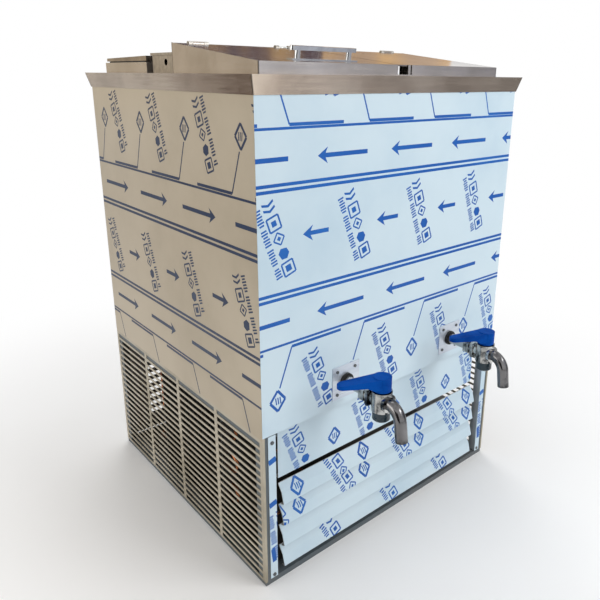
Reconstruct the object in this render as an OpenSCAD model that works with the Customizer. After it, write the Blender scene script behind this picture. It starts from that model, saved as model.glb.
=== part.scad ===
// Bulk milk tank on its own refrigeration unit, with two outlet taps.
// Millimetres. Origin on the floor under the middle of the body, front towards -Y, left side at -X.

/* [Body] */
// Width of the body, side to side
tank_w = 874; // [850:2:960]
// Depth of the body, front to back
tank_d = 818; // [800:2:860]
// Height of the rim over the floor
tank_h = 1200; // [1150:5:1300]
// Height of the machine bay under the tank
bay_h = 416; // [410:2:430]
// Thickness of the outer stainless sheets
skin = 1.5; // [1:0.1:2]
// Thickness of the foam round the vessel
foam = 60; // [50:1:75]

/* [Rim] */
// Height of the rim band
rim_h = 38; // [30:1:50]
// How far the top of the rim leans out past its bottom
rim_flare = 10; // [6:1:18]
// Inset of the lid upstand from the left, right and front faces
inset = 40; // [30:1:50]
// Inset of the lid upstand from the back face
inset_back = 15; // [12:1:30]

/* [Lids] */
// Height of the front upstand over the rim
front_rise = 25; // [20:1:35]
// Rise of the front lids for each millimetre of depth
lid_slope = 0.125; // [0.06:0.005:0.14]
// Depth of the front lids' upstand
front_lid_d = 356; // [330:2:390]
// Width of the bridge from front to back
bridge_d = 115; // [100:1:130]
// Height of the bridge over the rim
bridge_rise = 42; // [42:1:60]
// Height of the rear upstand over the rim
rear_rise = 27; // [24:1:40]
// Gap between the two front lids
lid_gap = 4; // [3:1:8]
// Length of a lid handle's bar
handle_len = 188; // [140:2:220]
// Height of a lid handle over its lid
handle_h = 28; // [24:1:40]

/* [Machine bay] */
// Height of the floor frame
rail_h = 15; // [12:1:25]
// How far the louvre panel lies behind the front
recess = 26; // [24:1:32]
// Width of a front corner strip
strip_w = 21; // [18:1:26]
// Height of the plain fascia over the louvres
fascia_h = 136; // [110:1:150]
// Height of the open slot under the fascia
slot_h = 14; // [8:1:20]
// Number of louvre blades
blades = 4; // [3:1:6]
// How far a blade's nose stands out
blade_out = 22; // [14:1:23]
// Height of one grille slot
grille_slot = 12.5; // [8:0.5:14]
// Distance from one grille slot to the next
grille_pitch = 19.5; // [18:0.5:26]
// Number of bays side by side in a grille
grille_bays = 4; // [2:1:5]

/* [Taps] */
// Left tap, to the left of the middle
tap_left = 186; // [160:2:220]
// Right tap, to the right of the middle
tap_right = 217; // [181:2:251]
// Height of the taps over the bottom of the vessel
tap_rise = 17; // [16.5:0.5:30]
// Radius of the outlet pipe
pipe_r = 14; // [13.5:0.5:18]
// Distance from the front face to the middle of the valve
valve_out = 125; // [115:1:150]
// Radius of the ball in the valve
ball_r = 19; // [17:0.5:20]
// Radius of the bore through the ball
bore_r = 12; // [9:0.5:12.5]
// Outer radius of the spout
spout_r = 15; // [12:0.5:16]
// Wall of the pipes and the spout
tube_wall = 1.5; // [1:0.1:2]
// Radius of the spout's bend
spout_bend_r = 38; // [34:1:60]
// Angle of the spout's bend
spout_bend = 82; // [60:1:88]
// Straight tail of the spout
spout_tail = 46; // [20:1:70]
// Length of a tap lever from the stem to its tip
lever_len = 110; // [90:1:115]
// Angle of a lever at rest, back from straight across
lever_rest = 24; // [0:1:60]

/* [Cooling] */
// Radius of the evaporator tube
coil_r = 5; // [4:0.5:6]
// Number of runs in the evaporator
coil_runs = 11; // [7:2:13]
// Number of fins in the condenser
fins = 14; // [8:1:18]
// Number of tube rows in the condenser
rows = 6; // [4:2:6]
// Radius of the condenser fan
fan_r = 105; // [80:1:112]
// Number of fan blades
fan_blades = 5; // [3:1:7]
// Radius of the compressor's shell
comp_r = 85; // [70:1:95]
// Radius of the stirring shaft
shaft_r = 8; // [6:0.5:10]
// Length of one stirring paddle
paddle_len = 150; // [100:5:200]

/* [Hidden] */
$fn = 32;

hair = 0.3;          // gap between pieces that only lie beside each other
fit = 0.05;          // radial play of a turning or sliding fit
front = -tank_d / 2; // outer front face
back = tank_d / 2;
side = tank_w / 2;

// heights
grille_top = bay_h + 18;
deck_t = 2;
vessel_t = 2;
flange_t = 2;
rim_top_t = 2;
vessel_top = tank_h - rim_top_t;
vessel_floor = bay_h + deck_t + 42;
floor_top = vessel_floor + vessel_t;
tap_z = floor_top + tap_rise;
panel_top = tank_h - 15;
turn_back = 15;      // how far the front panel is folded back round the corners

// vessel plan
vessel_w = tank_w - 2 * foam;
vessel_d = tank_d - 2 * foam;
corner_r = 45;
floor_r = 25;

// upstand and bridge, along Y
up_side = side - inset;
up_front = front + inset;
up_split = up_front + front_lid_d;
bridge_y0 = up_split + 7;
bridge_y1 = bridge_y0 + bridge_d;
bridge_mid = (bridge_y0 + bridge_y1) / 2;
rear_y0 = bridge_y1 + 20;
rear_y1 = back - inset_back;
bridge_top = tank_h + bridge_rise;
rear_top = tank_h + rear_rise;
function wedge_z(y) = tank_h + front_rise + lid_slope * (y - up_front);

// lids
lid_t = 1.5;
lid_skirt = 12;
ledge_w = 12;
seal_t = 3;
knuckle_r = 6;
pin_r = 3;
hinge_w = 54;
hinge_in = 70;
cover_h = 6;         // height of the bridge's cover
front_hinge_y = bridge_y0 - knuckle_r - 1;
front_hinge_z = wedge_z(up_split) - 1;
rear_hinge_y = rear_y1 - 4;
rear_hinge_z = rear_top + 10;
rear_lid_y1 = rear_hinge_y - knuckle_r - 2;
notch_w = 36;

// machine bay
post = 30;
post_t = 4;
strip_x0 = side - 15;
strip_x1 = strip_x0 - strip_w;
panel_y = front + recess - skin; // outer face of fascia and louvre panel
fascia_w = 2 * (strip_x1 - 23);
fascia_top = bay_h - 8;
louvre_top = fascia_top - fascia_h - slot_h;
blade_pitch = (louvre_top - rail_h) / blades;
screw_r = 2;
plate_z = rail_h + 3; // top of the base plate

// taps
taps = [-tap_left, tap_right];
plate_size = 88;
plate_screw_x = 29;
plate_screw_z = 31;
plate_t = 2;
collar_r = 20;
collar_t = 6;
housing_r = 25;
seat_in = ball_r * 0.78;
seat_out = ball_r + 0.3;
seat_r = ball_r - 2;
ball_flat = ball_r - 3;
housing_top = ball_r + 6;
housing_bottom = -ball_r - 6;
stem_r = 6;
gland_t = 8;
cap_r = 21.5;
cap_bottom = -50;
lever_bottom = housing_top + 2;
lever_under = 45;
lever_top = 61;
lever_tip_top = 55;
hub_r = 22;
tip_r = 13;
body_in = valve_out - 58;
body_out = valve_out + 25;

// machine bay contents
cond_x = -side + 68;
cond_y = 20;
cond_w = 340;
cond_h = 300;
cond_t = 44;
cond_z = plate_z + 22;
tube_r = 4.8;
row_pitch = (cond_h - 50) / (rows - 1);
shroud_x = cond_x + cond_t / 2 + 10;
fan_z = cond_z + cond_h / 2;
fan_x = shroud_x + 22;
fan_hub_w = 20;
strap_x = fan_x + 24;
motor_r = 40;
fan_shaft_r = 4;
comp_x = 60;
comp_y = 60;
comp_z = plate_z + 25;
comp_h = 190;
coil_half = (vessel_d - 138) / 2; // from the middle to the outermost run
coil_pitch = 2 * coil_half / (coil_runs - 1);
coil_len = vessel_w - 154;
coil_z = vessel_floor - hair - coil_r;
drop_z = vessel_floor - 30;

// Shapes that come back often

// a profile of Y and Z points, drawn out along X
module along_x(len, pts) rotate([90, 0, 90]) linear_extrude(len, center = true) polygon(pts);

// a profile of X and Z points, drawn out along Y
module along_y(len, pts) rotate([90, 0, 0]) linear_extrude(len, center = true) polygon(pts);

// a box given by its lowest and highest corners
module block(a, b) translate(a) cube(b - a);

// a cylinder that runs along Y from y0 to y1
module rod_y(r, y0, y1) translate([0, y1, 0]) rotate([90, 0, 0]) cylinder(r = r, h = y1 - y0);

// a cylinder that runs along X, centred
module rod_x(r, len) rotate([0, 90, 0]) cylinder(r = r, h = len, center = true);

module round_rect(w, d, r) {
  square([w - 2 * r, d], center = true);
  square([w, d - 2 * r], center = true);
  for (i = [-1, 1], j = [-1, 1]) translate([i * (w / 2 - r), j * (d / 2 - r)]) circle(r);
}

// an outline that is square at the top and rounded below
module round_bottom(w, h, r) {
  translate([-w / 2, r]) square([w, h - r]);
  translate([-w / 2 + r, 0]) square([w - 2 * r, h]);
  for (i = [-1, 1]) translate([i * (w / 2 - r), r]) circle(r);
}

// a tub with rounded upright corners and a rounded floor edge
module tub(w, d, h, r, fr) intersection() {
  linear_extrude(h) round_rect(w, d, r);
  rotate([90, 0, 0]) linear_extrude(d, center = true) round_bottom(w, h, fr);
  rotate([90, 0, 90]) linear_extrude(w, center = true) round_bottom(d, h, fr);
}

// a block whose four sides lean out from the bottom to the top
module leaning_block(w, d, z0, z1, out) intersection() {
  along_y(d + 4 * out, [[-w / 2, z0], [w / 2, z0], [w / 2 + out, z1], [-w / 2 - out, z1]]);
  along_x(w + 4 * out, [[-d / 2, z0], [d / 2, z0], [d / 2 + out, z1], [-d / 2 - out, z1]]);
}

// a pipe through a list of points, with a round joint at each turn
module pipe(pts, r) {
  for (i = [0 : len(pts) - 2]) {
    v = pts[i + 1] - pts[i];
    l = norm(v);
    translate(pts[i]) rotate([0, acos(v[2] / l), atan2(v[1], v[0])]) cylinder(r = r, h = l, $fn = 16);
  }
  for (i = [1 : 1 : len(pts) - 2]) translate(pts[i]) sphere(r, $fn = 16);
}

// the places of the cover screws, as X and Z on the front and the back
function screw_places() = [for (x = [-1, 1], z = [rail_h + 9, bay_h - 20]) [x * (strip_x0 - 11), z]];

// Frame and floor

module base_frame() color("#47525a") {
  difference() {
    block([-side + skin, front + skin, 0], [side - skin, back - skin, rail_h]);
    block([-side + 42, front + 42, -1], [side - 42, back - 42, rail_h + 1]);
  }
  for (x = [-200, 0, 200]) block([x - 20, front + 41, 0], [x + 20, back - 41, rail_h]);
  difference() {
    union() for (i = [0, 1], j = [0, 1]) mirror([i, 0, 0]) mirror([0, j, 0]) corner_post();
    for (p = screw_places()) translate([p[0], 0, p[1]]) rod_y(screw_r + fit, front, back);
  }
  for (i = [0, 1]) mirror([i, 0, 0]) {
    along_y(tank_d - 2 * skin - 2 * post_t, [[side - skin, bay_h], [side - skin - post, bay_h],
      [side - skin - post, bay_h - post_t], [side - skin - post_t, bay_h - post_t],
      [side - skin - post_t, bay_h - post], [side - skin, bay_h - post]]);
  }
  block([-side + skin + 1, back - skin - post, bay_h - post_t], [side - skin - 1, back - skin, bay_h]);
  block([-side + skin + 1, panel_y + skin, bay_h - post_t], [side - skin - 1, panel_y + skin + post, bay_h]);
  block([-side + skin + 1, panel_y + skin, bay_h - post], [side - skin - 1, panel_y + skin + post_t, bay_h]);
}

module corner_post() translate([0, 0, rail_h]) linear_extrude(bay_h - rail_h) polygon([
  [-side + skin, front + skin], [-side + skin + post, front + skin],
  [-side + skin + post, front + skin + post_t], [-side + skin + post_t, front + skin + post_t],
  [-side + skin + post_t, front + skin + post], [-side + skin, front + skin + post]]);

module base_plate() color("#8c9296") difference() {
  block([-side + 40, panel_y + 12, rail_h], [side - 40, back - 14, plate_z]);
  for (i = [-1, 1], j = [-1, 1]) translate([comp_x + 80 * i, comp_y + 55 * j, 0]) cylinder(r = 4, h = 60);
}

module deck_plate() color("#b9bdc0") difference() {
  block([-side + skin, front + skin, bay_h], [side - skin, back - skin, bay_h + deck_t]);
  for (p = drop_points()) translate([p[0], p[1], bay_h - 1]) cylinder(r = coil_r + 3, h = 10);
}

// Outer skins

module front_panel() color("#cfdfe9") difference() {
  translate([0, 0, bay_h]) linear_extrude(panel_top - bay_h) difference() {
    translate([-side, front]) square([tank_w, turn_back]);
    translate([-side + skin, front + skin]) square([tank_w - 2 * skin, turn_back]);
  }
  for (x = taps) translate([x, 0, tap_z]) rod_y(pipe_r + hair, front - 1, front + 5);
}

module side_panel() block([-side, front + turn_back, grille_top], [-side + skin, back - skin, panel_top]);

module left_panel() color("#b3a58c") side_panel();

module right_panel() color("#cfdfe9") mirror([1, 0, 0]) side_panel();

module back_panel() color("#cfdfe9")
  block([-side, back - skin, bay_h], [side, back, panel_top]);

// a side grille: one sheet with rows of slots and a folded front edge
module side_grille() {
  z0 = 12;
  margin = 12;
  bar = 13;
  slot_l = (tank_d - skin - 2 * margin - (grille_bays - 1) * bar) / grille_bays;
  slot_n = floor((grille_top - 10 - z0 - 6) / grille_pitch);
  difference() {
    union() {
      block([-side, front, z0], [-side + skin, back - skin, grille_top]);
      block([-side, front, z0], [-side + 6, front + skin, bay_h - hair]);
    }
    block([-side - 1, front - 1, bay_h - hair], [-side + 7, front + turn_back, grille_top + 1]);
    for (b = [0 : grille_bays - 1], k = [0 : slot_n - 1])
      translate([-side - 1, front + margin + b * (slot_l + bar), z0 + 6 + k * grille_pitch])
        cube([skin + 2, slot_l, grille_slot]);
  }
}

module left_grille() color("#d8cdb6") side_grille();

module right_grille() color("#d8cdb6") mirror([1, 0, 0]) side_grille();

module back_cover() color("#c3c7c9") difference() {
  block([-side + 6, back - skin, rail_h + 2], [side - 6, back, bay_h - 2]);
  for (b = [-1, 1], k = [0 : 9])
    translate([b * 200 - 150, back - skin - 1, rail_h + 60 + k * grille_pitch * 1.4])
      cube([300, skin + 2, grille_slot]);
  for (p = screw_places()) translate([p[0], 0, p[1]]) rod_y(screw_r + fit, back - 5, back + 5);
}

// Front of the machine bay

// a strip of L section: a face on the corner post and a return into the recess
module front_strip() difference() {
  translate([0, 0, rail_h + 1]) linear_extrude(bay_h - rail_h - 3) polygon([
    [-strip_x0, front], [-strip_x1, front], [-strip_x1, panel_y + skin - hair],
    [-strip_x1 - skin, panel_y + skin - hair], [-strip_x1 - skin, front + skin], [-strip_x0, front + skin]]);
  for (p = screw_places()) translate([p[0], 0, p[1]]) rod_y(screw_r + fit, front - 1, front + 5);
}

module left_front_strip() color("#dde2e4") front_strip();

module right_front_strip() color("#dde2e4") mirror([1, 0, 0]) front_strip();

module front_fascia() color("#cfdfe9") along_x(fascia_w, [
  [panel_y, fascia_top], [panel_y, fascia_top - fascia_h], [panel_y + 14, fascia_top - fascia_h],
  [panel_y + 14, fascia_top - fascia_h + skin], [panel_y + skin, fascia_top - fascia_h + skin],
  [panel_y + skin, fascia_top]]);

// one bent blade: it bulges out to a nose and folds a short way back under it
module louvre_blade() {
  bend = blade_pitch * 0.34;
  nose = blade_pitch * 0.82;
  lip = blade_pitch * 0.9;
  along_x(fascia_w, [
    [0, 0], [-blade_out * 0.62, -bend], [-blade_out, -nose], [-blade_out * 0.45, -lip],
    [-blade_out * 0.45, -lip + 2 * skin], [-blade_out + 2.2 * skin, -nose + skin],
    [-blade_out * 0.62 + 1.4 * skin, -bend - 0.6 * skin], [skin, -3], [skin, 0]]);
}

module louvre_panel() color("#cfdfe9") {
  for (k = [0 : blades - 1]) translate([0, panel_y, louvre_top - k * blade_pitch]) louvre_blade();
  for (x = [-fascia_w / 2 + 24, 0, fascia_w / 2 - 24])
    block([x - 8, panel_y + skin - 0.5, rail_h], [x + 8, panel_y + 2 * skin - 0.2, louvre_top]);
}

module cover_screws() color("#5b6063") for (p = screw_places()) translate([p[0], 0, p[1]]) {
  rod_y(4.5, front - 2.2, front);
  rod_y(screw_r, front - 1, front + skin + post_t + 3);
  rod_y(4.5, back, back + 2.2);
  rod_y(screw_r, back - skin - post_t - 3, back + 1);
}

// Tank

// the leaning band with the flat top that closes the foam and carries the upstands
module rim_band() color("#a8a297") difference() {
  leaning_block(tank_w + 4, tank_d + 4, tank_h - rim_h, tank_h, rim_flare);
  leaning_block(tank_w + 1, tank_d + 1, tank_h - rim_h - 0.01, tank_h - rim_top_t, rim_flare * 0.94);
  block([-up_side + ledge_w, up_front + ledge_w, tank_h - 5], [up_side - ledge_w, bridge_y0 - 2, tank_h + 1]);
  block([-up_side + ledge_w, rear_y0 + ledge_w, tank_h - 5], [up_side - ledge_w, rear_y1 - 22, tank_h + 1]);
  translate([0, bridge_mid, tank_h - 5]) cylinder(r = 12 + fit, h = 10);
}

module milk_vessel() color("#c9cdd0") difference() {
  union() {
    translate([0, 0, vessel_floor])
      tub(vessel_w, vessel_d, vessel_top - vessel_floor, corner_r, floor_r);
    block([-side + 12, front + 12, vessel_top - flange_t], [side - 12, back - 12, vessel_top]);
  }
  translate([0, 0, floor_top]) tub(vessel_w - 2 * vessel_t, vessel_d - 2 * vessel_t,
    vessel_top - floor_top + 1, corner_r - vessel_t, floor_r - vessel_t);
  for (x = taps) translate([x, 0, tap_z]) rod_y(pipe_r + fit, front + foam - 5, front + foam + 5);
}

module foam_insulation() color("#e8dfae") difference() {
  block([-side + skin, front + skin, bay_h + deck_t], [side - skin, back - skin, vessel_top - flange_t]);
  translate([0, 0, vessel_floor]) tub(vessel_w + hair, vessel_d + hair, tank_h, corner_r, floor_r - 2);
  block([-coil_len / 2 - 40, -coil_half - 20, vessel_floor - 2 * coil_r - 3],
    [coil_len / 2 + 40, coil_half + 20, vessel_floor + 30]);
  for (x = taps) translate([x, 0, tap_z]) rod_y(pipe_r + hair, front - 1, front + foam + 5);
  for (p = drop_points()) translate([p[0], p[1], bay_h]) cylinder(r = coil_r + 3, h = 60);
}

// Upstands, bridge and lids

module front_upstand() color("#b7b2a6") difference() {
  union() {
    block([-up_side, up_front, tank_h], [up_side, up_front + skin, wedge_z(up_front)]);
    for (i = [0, 1]) mirror([i, 0, 0]) {
      translate([-up_side + skin / 2, 0, 0]) along_x(skin, [[up_front, tank_h], [up_split, tank_h],
        [up_split, wedge_z(up_split)], [up_front, wedge_z(up_front)]]);
      block([-up_side, up_split - skin, tank_h], [-up_side + 9, up_split, wedge_z(up_split - skin) - 4]);
      translate([-up_side + ledge_w / 2, 0, 0]) along_x(ledge_w, ledge_profile(up_front, up_split - 12));
    }
    translate([0, 0, 0]) along_x(2 * up_side, ledge_profile(up_front, up_front + ledge_w));
  }
  block([0, up_front - 1, tank_h + 3], [notch_w, up_front + ledge_w + 1, tank_h + 60]);
  block([notch_w + 8, up_front - 1, tank_h + 3], [notch_w + 13, up_front + skin + 0.2, tank_h + 60]);
}

// a sloping ledge under the front lids, one sheet thick
function ledge_drop() = lid_skirt + seal_t + 2 * hair;
function ledge_profile(y0, y1) = [[y0, wedge_z(y0) - ledge_drop()], [y1, wedge_z(y1) - ledge_drop()],
  [y1, wedge_z(y1) - ledge_drop() - skin], [y0, wedge_z(y0) - ledge_drop() - skin]];

module rear_upstand() color("#b7b2a6") {
  difference() {
    block([-up_side, rear_y0, tank_h], [up_side, rear_y1, rear_top]);
    block([-up_side + skin, rear_y0 + skin, tank_h - 1], [up_side - skin, rear_y1 - skin, rear_top - skin]);
    block([-up_side + ledge_w, rear_y0 + ledge_w, tank_h], [up_side - ledge_w, rear_y1 - 22, rear_top + 1]);
  }
  for (x = hinge_places(-up_side, up_side)) translate([x, rear_hinge_y, rear_hinge_z])
    hinge_lugs() { lug_foot(rear_top - rear_hinge_z); }
}

// the middles of two hinges on a lid that reaches from x0 to x1
function hinge_places(x0, x1) = [x0 + hinge_in, x1 - hinge_in];

// two lugs with a pin hole, each with the foot that is given
module hinge_lugs() for (i = [-1, 1]) difference() {
  union() {
    translate([i * (hinge_w / 2 - 6), 0, 0]) rod_x(knuckle_r, 12);
    intersection() {
      translate([i * (hinge_w / 2 - 6), 0, 0]) cube([12, 60, 60], center = true);
      children();
    }
  }
  rod_x(pin_r + fit / 2, 2 * hinge_w);
}

// the foot of a lug: it stands on a flat top, drop below the pin
module lug_foot(drop) translate([0, 0, drop / 2])
  cube([hinge_w, 2 * knuckle_r - 4, -drop], center = true);

// a turned eye on a lid, with its arm
module lid_knuckle(arm_y, arm_z) difference() {
  union() {
    rod_x(knuckle_r, hinge_w - 24 - 1);
    translate([0, (arm_y - lid_t + 0.3) / 2, arm_z])
      cube([hinge_w - 25, abs(arm_y) + lid_t - 0.3, 3], center = true);
  }
  rod_x(pin_r + fit, hinge_w);
}

module bridge() color("#a39a88") {
  difference() {
    block([-up_side + 8, bridge_y0, tank_h], [up_side - 8, bridge_y1, bridge_top]);
    block([-up_side + 8 + skin, bridge_y0 + skin, tank_h + 2],
      [up_side - 8 - skin, bridge_y1 - skin, bridge_top + 1]);
    translate([0, bridge_mid, tank_h - 1]) cylinder(r = 12 + fit, h = 10);
    translate([-up_side + 8, bridge_y0 + 43, tank_h + 26]) rod_x(8, 10);
  }
  for (x = concat(hinge_places(-up_side, -lid_gap / 2), hinge_places(lid_gap / 2, up_side)))
    translate([x, front_hinge_y, front_hinge_z]) hinge_lugs() {
      wall = bridge_y0 - front_hinge_y;
      foot = bridge_top - front_hinge_z;
      block([-hinge_w, 0, foot - 10], [hinge_w, wall + skin, foot]);
      block([-hinge_w, 0, foot - 10], [hinge_w, wall + 0.4, -knuckle_r + 4]);
    }
}

module bridge_cover() color("#8e8f8c") difference() {
  block([-up_side + 4, bridge_y0 - hair + 1, bridge_top], [up_side - 4, bridge_y1 + 3, bridge_top + cover_h]);
  block([-up_side + 4 + skin, bridge_y0 + 2 * skin, bridge_top - 1],
    [up_side - 4 - skin, bridge_y1 + 3 - skin, bridge_top + cover_h - skin]);
}

module lid_seals() color("#2b2b2b") {
  for (i = [0, 1]) mirror([i, 0, 0]) translate([-up_side + skin + 5, 0, 0]) along_x(8, [
    for (p = [[up_front + ledge_w + 2, 0], [up_split - 14, 0], [up_split - 14, 1], [up_front + ledge_w + 2, 1]])
      [p[0], wedge_z(p[0]) - ledge_drop() + p[1] * seal_t]]);
  for (i = [0, 1]) mirror([i, 0, 0])
    block([-up_side + skin + 1, rear_y0 + 14, rear_top], [-up_side + ledge_w - 1, rear_y1 - 24, rear_top + seal_t]);
}

// a front lid between x0 and x1: a sloping sheet with its edges turned down
module front_lid(x0, x1) {
  y0 = up_front + skin + 1;
  y1 = up_split - 6;
  w = x1 - x0;
  translate([(x0 + x1) / 2, 0, 0]) {
    difference() {
      along_x(w, [[y0, wedge_z(y0) - lid_skirt], [y1, wedge_z(y1) - lid_skirt], [y1, wedge_z(y1)], [y0, wedge_z(y0)]]);
      along_x(w - 2 * lid_t, [[y0 + lid_t, wedge_z(y0) - lid_skirt - 9], [y1 - lid_t, wedge_z(y1) - lid_skirt - 9],
        [y1 - lid_t, wedge_z(y1) - lid_t], [y0 + lid_t, wedge_z(y0) - lid_t]]);
    }
  }
  for (x = hinge_places(min(x0, -up_side), max(x1, up_side)))
    if (x > x0 && x < x1) translate([x, front_hinge_y, front_hinge_z])
      lid_knuckle(y1 - front_hinge_y, -1.6);
}

module left_lid() color("#c2a57e") front_lid(-up_side + skin + 1, -lid_gap / 2);

module right_lid() color("#c2a57e") difference() {
  front_lid(lid_gap / 2, up_side - skin - 1);
  block([lid_gap / 2 + lid_t, up_front, tank_h], [notch_w, up_front + skin + 1 + lid_t + 0.5,
    wedge_z(up_front) - 2 * lid_t]);
}

module rear_lid() color("#9a9c9b") {
  fall = 8;
  z0 = rear_top + seal_t + hair;
  z1 = z0 + 12;
  difference() {
    along_x(2 * up_side, [[rear_y0, z0], [rear_lid_y1, z0], [rear_lid_y1, z1 - fall + 4], [rear_y0, z1]]);
    along_x(2 * up_side - 2 * lid_t, [[rear_y0 + lid_t, z0 - 1], [rear_lid_y1 - lid_t, z0 - 1],
      [rear_lid_y1 - lid_t, z1 - fall + 4 - lid_t], [rear_y0 + lid_t, z1 - lid_t]]);
  }
  for (x = hinge_places(-up_side, up_side)) translate([x, rear_hinge_y, rear_hinge_z])
    lid_knuckle(rear_lid_y1 - rear_hinge_y, -3);
}

// a lid handle: a flat bar on two posts, standing on the plane through [y, z]
module lid_handle(x, y, z, tilt) translate([x, y, z]) rotate([tilt, 0, 0]) {
  translate([-handle_len / 2, -10, 0]) cube([handle_len, 20, 2.5]);
  for (i = [-1, 1]) translate([i * (handle_len / 2 - 20), 0, 1]) cylinder(r = 6.5, h = handle_h - 5);
  translate([0, 0, handle_h - 9]) linear_extrude(9) {
    square([handle_len - 14, 14], center = true);
    for (i = [-1, 1]) translate([i * (handle_len / 2 - 7), 0]) circle(7);
  }
}

handle_y = up_front + 50;

module left_lid_handle() color("#d5d8da")
  lid_handle(-up_side / 2 + 10, handle_y, wedge_z(handle_y), atan(lid_slope));

module rear_lid_handle() color("#d5d8da")
  lid_handle(0, rear_y0 + 30, rear_top + seal_t + hair + 12 - 30 * 4 / (rear_lid_y1 - rear_y0),
    -atan(4 / (rear_lid_y1 - rear_y0)));

module lid_hinge_pins() color("#d5d8da") {
  for (x = concat(hinge_places(-up_side, -lid_gap / 2), hinge_places(lid_gap / 2, up_side)))
    translate([x, front_hinge_y, front_hinge_z]) rod_x(pin_r, hinge_w + 2);
  for (x = hinge_places(-up_side, up_side))
    translate([x, rear_hinge_y, rear_hinge_z]) rod_x(pin_r, hinge_w + 2);
}

// Agitator

gear_top = tank_h + bridge_rise - 3;

module agitator_gearmotor() color("#6d7478") difference() {
  union() {
    block([-40, bridge_mid - 40, tank_h + 2], [60, bridge_mid + 40, gear_top]);
    translate([60, bridge_mid, tank_h + 22]) rotate([0, 90, 0]) cylinder(r = 18, h = 120);
  }
  translate([0, bridge_mid, tank_h]) cylinder(r = shaft_r + fit, h = 34);
}

module agitator_bush() color("#f2f2ee") translate([0, bridge_mid, tank_h - rim_top_t - 6]) difference() {
  union() {
    cylinder(r = 12, h = 6 + rim_top_t + 2);
    cylinder(r = 18, h = 6);
  }
  translate([0, 0, -1]) cylinder(r = shaft_r + fit, h = 20);
}

module agitator_shaft() color("#d5d8da") translate([0, bridge_mid, floor_top + 60])
  cylinder(r = shaft_r, h = tank_h + 30 - floor_top - 60);

module agitator_paddle() color("#c9cdd0") translate([0, bridge_mid, floor_top + 58]) difference() {
  union() {
    cylinder(r = shaft_r + 8, h = 80);
    for (i = [0, 180]) rotate(i) translate([shaft_r + 5 + paddle_len / 2, 0, 40]) rotate([28, 0, 0])
      cube([paddle_len, 3, 70], center = true);
  }
  translate([0, 0, 2]) cylinder(r = shaft_r, h = 90);
}

// Taps

module outlet_pipes() color("#c9cdd0") for (x = taps) translate([x, 0, tap_z]) difference() {
  rod_y(pipe_r, front - body_in - 10, front + foam + vessel_t);
  rod_y(pipe_r - tube_wall, front - valve_out, front + foam + 10);
}

module tap_plates() color("#d8dcde") for (x = taps) translate([x, 0, tap_z]) difference() {
  block([-plate_size / 2, front - plate_t, -plate_size / 2], [plate_size / 2, front, plate_size / 2]);
  rod_y(pipe_r + hair, front - 5, front + 5);
  for (i = [-1, 1], j = [-1, 1]) translate([i * plate_screw_x, 0, j * plate_screw_z])
    rod_y(screw_r + fit, front - 5, front + 5);
}

module tap_screws() color("#5b6063") for (x = taps, i = [-1, 1], j = [-1, 1])
  translate([x + i * plate_screw_x, 0, tap_z + j * plate_screw_z]) {
    rod_y(4, front - plate_t - 2, front - plate_t);
    rod_y(screw_r, front - plate_t - 1, front);
  }

module tap_collars() color("#1c1c1c") for (x = taps) translate([x, 0, tap_z]) difference() {
  union() {
    rod_y(collar_r, front - plate_t - collar_t, front - plate_t);
    rod_y(collar_r - 3, front - plate_t - collar_t - 4, front - plate_t);
  }
  rod_y(pipe_r + hair, front - 50, front + 5);
}

// the housing that crosses the pipe, with a barrel for the ball and its seats
module valve_body() difference() {
  union() {
    translate([0, -valve_out, housing_bottom]) cylinder(r = housing_r, h = housing_top - housing_bottom);
    rod_y(pipe_r + 6, -body_out, -body_in);
    translate([0, -body_in, 0]) rotate([90, 0, 0]) rotate(30) cylinder(r = 25, h = 17, $fn = 6);
    rod_y(22, -body_out, -body_out + 8);
    translate([0, -valve_out + 29, 0]) cube([46, 7, 40], center = true);
    for (i = [-1, 1], j = [-1, 1]) translate([i * 18, 0, j * 15]) rod_y(3.5, -valve_out + 22, -valve_out + 36.5);
    translate([housing_r, -valve_out, -4]) cylinder(r = 5, h = 25);
  }
  translate([0, -valve_out, housing_bottom - 1])
    cylinder(r = ball_r + 0.3, h = ball_r + 2 - housing_bottom + 1);
  translate([0, -valve_out, 0]) {
    cylinder(r = stem_r + fit, h = 60);
    rod_y(seat_r + fit, -seat_out, seat_out);
  }
  rod_y(pipe_r - tube_wall, -body_out - 1, -body_in + 1);
  rod_y(pipe_r + fit, -body_in - 10 - hair, -body_in + 1);
  rod_y(spout_r + 0.3 + fit, -body_out - 1, -body_out + 5);
}

module at_tap(i) translate([taps[i], front, tap_z]) children();

module left_valve_body() color("#c6cacc") at_tap(0) valve_body();

module right_valve_body() color("#c6cacc") at_tap(1) valve_body();

module valve_seats() color("#f4f4f0") for (t = [0, 1]) at_tap(t) translate([0, -valve_out, 0])
  for (s = [0, 180]) rotate(s) difference() {
    rod_y(seat_r, seat_in, seat_out);
    rod_y(bore_r + 0.5, 0, 30);
  }

module ball() translate([0, -valve_out, 0]) difference() {
  sphere(ball_r, $fn = 48);
  rod_x(bore_r, 60);
  translate([0, 0, ball_flat + 20]) cube(40, center = true);
}

module left_ball() color("#d5d8da") at_tap(0) ball();

module right_ball() color("#d5d8da") at_tap(1) ball();

module stem() translate([0, -valve_out, ball_flat]) {
  cylinder(r = stem_r, h = lever_under + 8 - ball_flat);
  cylinder(r = stem_r + 3, h = ball_r + 1.5 - ball_flat);
}

module left_stem() color("#d5d8da") at_tap(0) stem();

module right_stem() color("#d5d8da") at_tap(1) stem();

module gland_nuts() color("#5b6063") for (t = [0, 1]) at_tap(t)
  translate([0, -valve_out, housing_top]) difference() {
    cylinder(r = 12, h = gland_t, $fn = 6);
    translate([0, 0, -1]) cylinder(r = stem_r + fit, h = 20);
  }

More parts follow.
